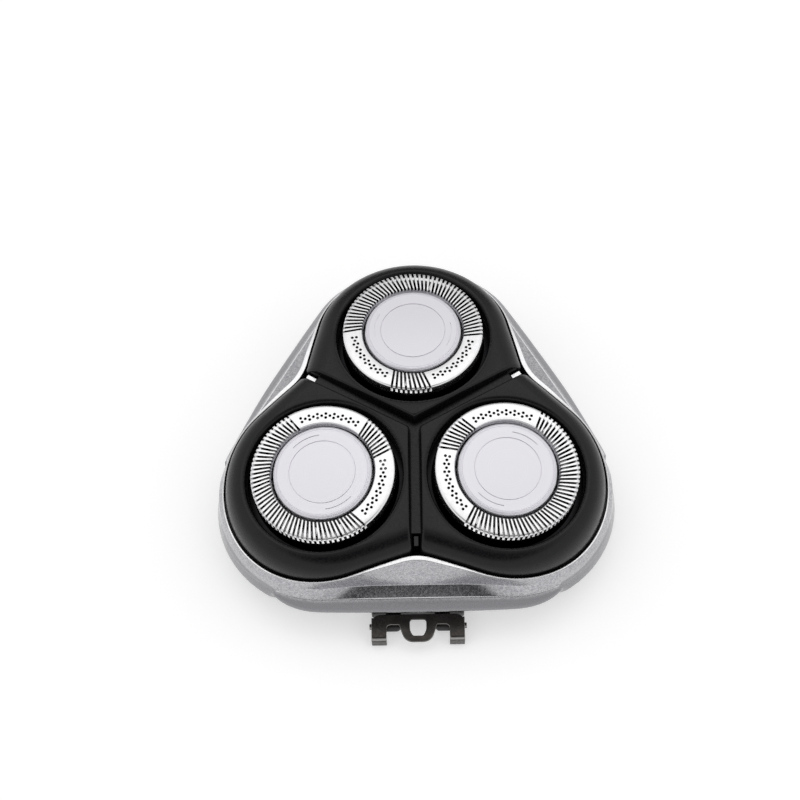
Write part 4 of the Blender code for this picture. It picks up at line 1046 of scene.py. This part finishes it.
def cap_profile():
    """From the middle of the disc over the circle line and the lip down to the foot of the stem."""
    line = LINE_WIDTH / 2.0
    line_foot = LINE_FOOT_SHARE * line
    foot = CAP_UNDER - STEM_LENGTH
    return [(0.0, CAP_DOME), (DISC_RADIUS / 2.0, CAP_DOME_SHARE * CAP_DOME), (DISC_RADIUS - line, 0.0),
            (DISC_RADIUS - line_foot, -LINE_DEPTH), (DISC_RADIUS + line_foot, -LINE_DEPTH),
            (DISC_RADIUS + line, 0.0), *((CAP_LIP_RADIUS + across, height) for across, height in CAP_LIP),
            (CAP_RADIUS, CAP_EDGE), (CAP_RADIUS, CAP_UNDER), (STEM_RADIUS, CAP_UNDER), (STEM_RADIUS, foot),
            (0.0, foot)]


def arc_lines(bm):
    """Cuts for the two short arc lines."""
    half = LINE_WIDTH / 2.0
    for start, end in ARC_RANGES:
        rings = []
        for i in range(ARC_PIECES + 1):
            turn = rotation(blend(i / ARC_PIECES, start, end), "Z")
            corners = ((-half, -LINE_DEPTH), (half, -LINE_DEPTH), (half, SINK), (-half, SINK))
            rings.append([turn @ Vector((ARC_RADIUS + across, 0.0, height)) for across, height in corners])
        loft(bm, rings)


def build_caps():
    cap = shape("cap", lambda bm: turned(bm, cap_profile(), CAP_STEPS, False))
    combine(cap, "arc_lines", arc_lines)
    for_each_head(applied(cap), "cap", "float", "brushed_cap", "guard_cap", CAP_TURN)


# Cutters

def blade_ring(bm):
    inner, outer = RING_RADII
    corners = [(inner, RING_TOP, CRISP), (outer, RING_TOP, CRISP), (outer, RING_UNDER, CRISP),
               (inner, RING_UNDER, CRISP)]
    turned(bm, rounded_profile(corners))


def blades(bm):
    root = (RING_TOP + RING_UNDER) / 2.0
    lean = UNMOVED.copy()
    lean[1][2] = math.tan(math.radians(BLADE_RAKE))
    for i in range(BLADE_COUNT):
        place = rotation(360.0 * i / BLADE_COUNT, "Z") @ Matrix.Translation((0.0, 0.0, root)) @ lean
        box_mesh(bm, (BLADE_INNER, -BLADE_THICKNESS / 2.0, 0.0),
                 (BLADE_OUTER, BLADE_THICKNESS / 2.0, BLADE_TIP - root), place)


def lifter_star(bm):
    """A sprung steel ring with a raised tongue ahead of each blade."""
    inner, outer = LIFTER_RADII
    sections = []
    for i in range(2 * BLADE_COUNT):
        turn = rotation(180.0 * (i + TONGUE_LEAD) / BLADE_COUNT, "Z")
        lift = 0.0 if i % 2 else TONGUE_LIFT
        reach = outer - TONGUE_LENGTH if i % 2 else outer
        corners = ((inner, LIFTER_UNDER), (inner, LIFTER_UNDER + LIFTER_THICKNESS),
                   (reach, LIFTER_UNDER + lift + LIFTER_THICKNESS), (reach, LIFTER_UNDER + lift))
        sections.append([turn @ Vector((radius, 0.0, height)) for radius, height in corners])
    loft(bm, sections, True)


def carrier_body(bm):
    collar_top, flange_top, flange_under, foot = CARRIER_LEVELS
    seat, seat_height = CARRIER_SEAT
    corners = [(CARRIER_BORE, collar_top + seat_height, CRISP), (seat, collar_top + seat_height, SOFT),
               (seat, collar_top, SHARP), (CARRIER_COLLAR, collar_top, FINE),
               (CARRIER_COLLAR, flange_top, SHARP), (CARRIER_EDGE, flange_top, SOFT),
               (CARRIER_EDGE, flange_under, SOFT), (CARRIER_HUB, flange_under, FULL),
               (CARRIER_HUB, foot, FULL), (CARRIER_BORE, foot, SHARP)]
    turned(bm, rounded_profile(corners))


def drive_socket(bm):
    half = SOCKET_WIDTH / 2.0
    foot = CARRIER_LEVELS[-1]
    square = [Vector((x, y)) for x, y in ((-half, -half), (half, -half), (half, half), (-half, half))]
    outline = rounded(square, [SOCKET_CORNER] * len(square))
    prism(bm, outline, (foot - PAST, foot + SOCKET_DEPTH))


def build_cutters():
    ring = shape("blade_ring", blade_ring)
    combine(ring, "blades", blades, "UNION")
    for_each_head(applied(ring), "blades", "cutter", "blade_steel", "cutter_blades")
    lifters = shape("lifter_star", lifter_star)
    bevelled(lifters, LIFTER_EDGE)
    for_each_head(applied(lifters), "lifters", "cutter", "blade_steel", "cutter_lifters")
    carrier = shape("carrier_body", carrier_body)
    combine(carrier, "socket", drive_socket)
    for_each_head(applied(carrier), "carrier", "cutter", "carrier_plastic", "cutter_carrier")


# Retaining frame and lock knob

def build_retainer():
    bore = STUD_RADIUS + GAP
    hub_corners = [(bore, HUB_TOP, FINE), (HUB_RADIUS, HUB_TOP, SOFT), (HUB_RADIUS, HUB_UNDERSIDE, SOFT),
                   (bore, HUB_UNDERSIDE, FINE)]
    inner, step, outer = RETAINER_RADII
    top, rim_under, under = RETAINER_LEVELS
    ring_corners = [(inner, top, SOFT), (outer, top, SOFT), (outer, rim_under, SOFT), (step, under, SOFT),
                    (inner, under, SOFT)]
    hub = shape("retainer", lambda bm: turned(bm, rounded_profile(hub_corners)))
    for place in HEAD_PLACES.values():
        combine(hub, "ring", lambda bm: turned(bm, rounded_profile(ring_corners), matrix=place), "UNION")
        combine(hub, "tab", lambda bm: box_mesh(
            bm, (TAB_START, -TAB_WIDTH / 2.0, rim_under), (TAB_END, TAB_WIDTH / 2.0, TAB_TOP),
            place), "UNION")
    finished(applied(hub), "frame", "retainer_plastic", "retaining_frame")


def knob_grips(bm):
    near, far = GRIP_REACH
    for start, end in ((-far, -near), (near, far)):
        box_mesh(bm, (-GRIP_WIDTH / 2.0, start, KNOB_UNDERSIDE - GRIP_HEIGHT),
                 (GRIP_WIDTH / 2.0, end, KNOB_UNDERSIDE + SINK))


def assembly_slot(bm):
    half_width, half_length = ASSEMBLY_SLOT
    box_mesh(bm, (-half_width, -half_length, KNOB_UNDERSIDE - PAST),
             (half_width, half_length, KNOB_TOP + PAST))


def build_lock_knob():
    bore = STUD_RADIUS + GAP
    corners = [(bore, KNOB_TOP, FINE), (KNOB_RADIUS, KNOB_TOP, FULL),
               (KNOB_RADIUS, KNOB_UNDERSIDE, KNOB_BEVEL), (bore, KNOB_UNDERSIDE, FINE)]
    knob = shape("knob", lambda bm: turned(bm, rounded_profile(corners)))
    combine(knob, "grips", knob_grips, "UNION")
    combine(knob, "assembly_slot", assembly_slot)
    bevelled(knob, GRIP_EDGE)
    finished(applied(knob), "knob", "knob_plastic", "lock_knob")


# Hinge

def pin_rod(bm, radius, start, end):
    """Adds a rod on the pin's axis between two places across X."""
    rod_mesh(bm, radius, (start, -PIN_REACH, PIN_HEIGHT), (end, -PIN_REACH, PIN_HEIGHT))


def knuckle_section(x, setback):
    """Section of a knuckle across X: an arm from the block with a round nose about the pin."""
    root = SINK - SIDE_REACH
    nose = arc_points((setback - PIN_REACH, PIN_HEIGHT), (KNUCKLE_RADIUS, KNUCKLE_RADIUS), 90.0, 270.0)
    outline = [(root, PIN_HEIGHT + KNUCKLE_RADIUS), *nose, (root, PIN_HEIGHT - KNUCKLE_RADIUS)]
    return [(x, y, z) for y, z in outline]


def knuckles(bm):
    inner, outer = KNUCKLE_RANGE
    for side in (-1.0, 1.0):
        edge = arc_points((KNUCKLE_CORNER, KNUCKLE_CORNER), (-KNUCKLE_CORNER, -KNUCKLE_CORNER), 0.0, 90.0)
        sections = [knuckle_section(side * (inner + across), setback) for across, setback in edge]
        sections.append(knuckle_section(side * outer, 0.0))
        loft(bm, sections)


def build_hinge_block():
    half = HINGE_WIDTH / 2.0
    well_top = BLOCK_BOTTOM + SCREW_HEAD_HEIGHT + GAP
    block = shape("block", lambda bm: box_mesh(
        bm, (-half, -SIDE_REACH, BLOCK_BOTTOM), (half, -BLOCK_BACK, BLOCK_TOP)))
    bevelled(block, BLOCK_BEVEL)
    combine(block, "knuckles", knuckles, "UNION")
    combine(block, "pin_bore", lambda bm: pin_rod(bm, PIN_BORE, -half, half))
    combine(block, "screw_ways", lambda bm: screw_axes(
        bm, SCREW_RADIUS + GAP, well_top - SINK, BLOCK_TOP + PAST))
    combine(block, "head_wells", lambda bm: screw_axes(
        bm, SCREW_HEAD_RADIUS + GAP, BLOCK_BOTTOM - PAST, well_top))
    finished(applied(block), "frame", "hinge_plastic", "hinge_block")


def build_screws():
    """The two screws that hold the hinge block, with a cross recess in the head."""
    length, width, depth = CROSS
    profile = [(0.0, SCREW_TOP), (SCREW_TIP_RADIUS, SCREW_TOP),
               (SCREW_RADIUS, SCREW_TOP - SCREW_TIP_RADIUS), (SCREW_RADIUS, SCREW_HEAD_HEIGHT),
               (SCREW_HEAD_RADIUS, SCREW_HEAD_HEIGHT), (SCREW_HEAD_RADIUS, SCREW_HEAD_BEVEL),
               (SCREW_HEAD_RADIUS - SCREW_HEAD_BEVEL, 0.0), (0.0, 0.0)]
    screw = shape("screw", lambda bm: turned(bm, profile, closed=False))
    for turn in (0.0, 90.0):
        combine(screw, "cross_recess", lambda bm: box_mesh(
            bm, (-length / 2.0, -width / 2.0, -PAST), (length / 2.0, width / 2.0, depth),
            rotation(turn, "Z")))
    applied(screw)
    for side, x in (("left", -SCREW_OFFSET), ("right", SCREW_OFFSET)):
        piece = add_object(f"screw_{side}", screw.data.copy())
        seat = Matrix.Translation((x, -SCREW_REACH, BLOCK_BOTTOM + NUDGE))
        finished(piece, "frame", "screw_steel", f"hinge_screw_{side}", seat)
    bpy.data.objects.remove(screw)


def mirrored_outline(half, pieces=EDGE_PIECES, limit=ROUNDING_LIMIT):
    """A closed outline in plan from the (across, reach, rounding) corners of its right half."""
    corners = [*half, *((-x, reach, fillet) for x, reach, fillet in reversed(half))]
    return rounded([Vector((x, -reach)) for x, reach, fillet in corners],
                   [fillet for x, reach, fillet in corners], pieces, limit)


def clip_outline():
    """The clip's plate in plan, without its bent feet, from the middle of its back edge round."""
    half = HINGE_WIDTH / 2.0
    inner = half - LEG_WIDTH
    bridge = CLIP_BACK + BRIDGE_DEPTH
    leg_end = CLIP_FRONT - LEG_BEND
    corners = [(half, CLIP_BACK, CLIP_CORNER), (half, leg_end, 0.0), (inner, leg_end, 0.0),
               (inner, bridge, LEG_FILLET), (TONGUE_ROOT / 2.0, bridge, SOFT),
               (TONGUE_TIP / 2.0, TONGUE_REACH, TONGUE_CORNER)]
    return mirrored_outline(corners, 2 * EDGE_PIECES, math.inf)


def clip_foot(bm, start, end):
    """The end of a leg between two places across X, bent down to the foot."""
    middle = (LEG_BEND - CLIP_FRONT, CLIP_UNDER + SHEET - LEG_BEND)
    inner = LEG_BEND - SHEET
    sections = list(zip(arc_points(middle, (inner, inner), 90.0, 180.0),
                        arc_points(middle, (LEG_BEND, LEG_BEND), 90.0, 180.0)))
    sections.append([(SHEET - CLIP_FRONT, FOOT_BOTTOM), (-CLIP_FRONT, FOOT_BOTTOM)])
    loft(bm, [[(x, y, z) for (y, z), x in zip((low, low, high, high), (start, end, end, start))]
              for low, high in sections])


def clip_sheet(bm):
    """The clip's plate and feet. The hidden faces where they meet are left out."""
    outline = clip_outline()
    prism(bm, outline, (CLIP_UNDER, CLIP_UNDER + SHEET))
    half = HINGE_WIDTH / 2.0
    for start, end in ((-half, LEG_WIDTH - half), (half - LEG_WIDTH, half)):
        clip_foot(bm, start, end)
    bmesh.ops.remove_doubles(bm, verts=bm.verts, dist=WELD)
    hidden = [face for face in bm.faces if all(len(edge.link_faces) > 2 for edge in face.edges)]
    bmesh.ops.delete(bm, geom=hidden, context="FACES_ONLY")


def clip_ears(bm):
    """Tabs down from the clip's edges about the pin's axis, round at the bottom."""
    half = HINGE_WIDTH / 2.0
    top = CLIP_UNDER + SHEET / 2.0
    edge = arc_points((-PIN_REACH, PIN_HEIGHT), (EAR_RADIUS, KNUCKLE_RADIUS), 180.0, 360.0)
    outline = [(-PIN_REACH - EAR_RADIUS, top), *edge, (EAR_RADIUS - PIN_REACH, top)]
    for start, end in ((-half, SHEET - half), (half - SHEET, half)):
        loft(bm, [[(x, y, z) for y, z in outline] for x in (start, end)])


def tongue_hole(bm):
    prism(bm, mirrored_outline(TONGUE_HOLE), (0.0, CLIP_UNDER + PAST))


def pin_stubs(bm):
    """The pin's two ends, one in each knuckle, so that nothing crosses the tongue's hole."""
    reach = HINGE_WIDTH / 2.0 + PIN_NUB
    for side in (-1.0, 1.0):
        pin_rod(bm, PIN_RADIUS, side * (KNUCKLE_RANGE[0] + GAP), side * reach)


def build_clip():
    half = HINGE_WIDTH / 2.0
    clip = shape("clip_sheet", clip_sheet)
    bevelled(clip, SHEET_EDGE).use_clamp_overlap = False
    bore_end = half + PAST
    combine(clip, "ears", clip_ears, "UNION")
    combine(clip, "tongue_hole", tongue_hole)
    combine(clip, "ear_holes", lambda bm: pin_rod(bm, PIN_BORE, -bore_end, bore_end))
    finished(applied(clip), "clip", "spring_steel", "hinge_clip")
    pin = shape("pin_stubs", pin_stubs)
    bevelled(pin, SHEET_EDGE)
    finished(applied(pin), "clip", "spring_steel", "hinge_pin")


# Floor, light and camera

def any_ray(mat, names):
    """1 for the named kinds of ray and 0 for others."""
    path = node(mat, "ShaderNodeLightPath")
    value = path.outputs[names[0]]
    for name in names[1:]:
        value = joined(mat, "MAXIMUM", value, path.outputs[name])
    return value


def build_floor():
    place = Matrix.Translation((0.0, 0.0, FLOOR_HEIGHT))
    floor = shape("floor", lambda bm: bmesh.ops.create_grid(
        bm, x_segments=1, y_segments=1, size=FLOOR_REACH, matrix=place))
    mat = new_material("floor", FLOOR_COLOUR, 0.8, 0.0)
    shader_input(mat, "Specular IOR Level").default_value = 0.0
    shader_input(mat, "Emission Color").default_value = (1.0, 1.0, 1.0, 1.0)
    seen = any_ray(mat, ("Is Camera Ray", "Is Glossy Ray", "Is Transmission Ray"))
    link(mat, ranged(mat, seen, 0.0, FLOOR_GLOW, 0.0, 1.0), shader_input(mat, "Emission Strength"))
    floor.data.materials.append(mat)


def build_light():
    """A pale studio all round with darker sides, and a lamp above."""
    world = bpy.data.worlds.new("world")
    bpy.context.scene.world = world
    world.use_nodes = True
    background = world.node_tree.nodes["Background"]
    background.inputs["Color"].default_value = (1.0, 1.0, 1.0, 1.0)
    direction = node(world, "ShaderNodeTexCoord").outputs["Generated"]
    level = node(world, "ShaderNodeValue").outputs["Value"]
    level.default_value = WORLD_LEVEL
    for middle, start, end, share in DARK_SIDES:
        towards = node(world, "ShaderNodeVectorMath", {"operation": "DOT_PRODUCT"})
        link(world, direction, towards.inputs[0])
        towards.inputs[1].default_value = middle
        darkening = ranged(world, towards.outputs["Value"], 1.0, share, start, end)
        level = joined(world, "MULTIPLY", level, darkening)
    link(world, level, background.inputs["Strength"])
    data = bpy.data.lights.new("top_light", "AREA")
    data.shape = "SQUARE"
    data.size = LAMP_WIDTH * MM
    data.energy = LAMP_POWER
    lamp = add_object("top_light", data)
    lamp.location = Vector(LAMP_PLACE) * MM
    lamp.rotation_euler = (Vector(LAMP_TARGET) * MM - lamp.location).to_track_quat("-Z", "Y").to_euler()


def build_camera():
    data = bpy.data.cameras.new("camera")
    data.sensor_width = SENSOR
    data.lens = LENS
    data.shift_x, data.shift_y = SHIFT
    data.clip_start = 1.0 * MM
    camera = add_object("camera", data)
    bpy.context.scene.camera = camera
    turn = rotation(VIEW_AZIMUTH, "Z") @ rotation(90.0 - VIEW_ELEVATION, "X") @ rotation(VIEW_ROLL, "Z")
    back = turn @ Vector((0.0, 0.0, VIEW_DISTANCE))
    place = (Vector((0.0, AXIS_Y, CAP_HEIGHT)) + back) * MM
    camera.matrix_world = Matrix.Translation(place) @ turn


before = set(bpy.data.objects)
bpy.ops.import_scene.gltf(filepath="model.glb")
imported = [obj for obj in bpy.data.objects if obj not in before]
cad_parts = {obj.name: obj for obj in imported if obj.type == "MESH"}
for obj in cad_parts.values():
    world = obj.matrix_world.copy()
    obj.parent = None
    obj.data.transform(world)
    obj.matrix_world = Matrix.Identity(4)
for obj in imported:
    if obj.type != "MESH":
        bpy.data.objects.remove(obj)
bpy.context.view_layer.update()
FINISHES = make_finishes()
build_outer_frame()
build_face_plate()
build_guards()
build_caps()
build_cutters()
build_retainer()
build_lock_knob()
build_hinge_block()
build_screws()
build_clip()
build_floor()
build_light()
build_camera()
bpy.context.scene.view_settings.view_transform = "Standard"
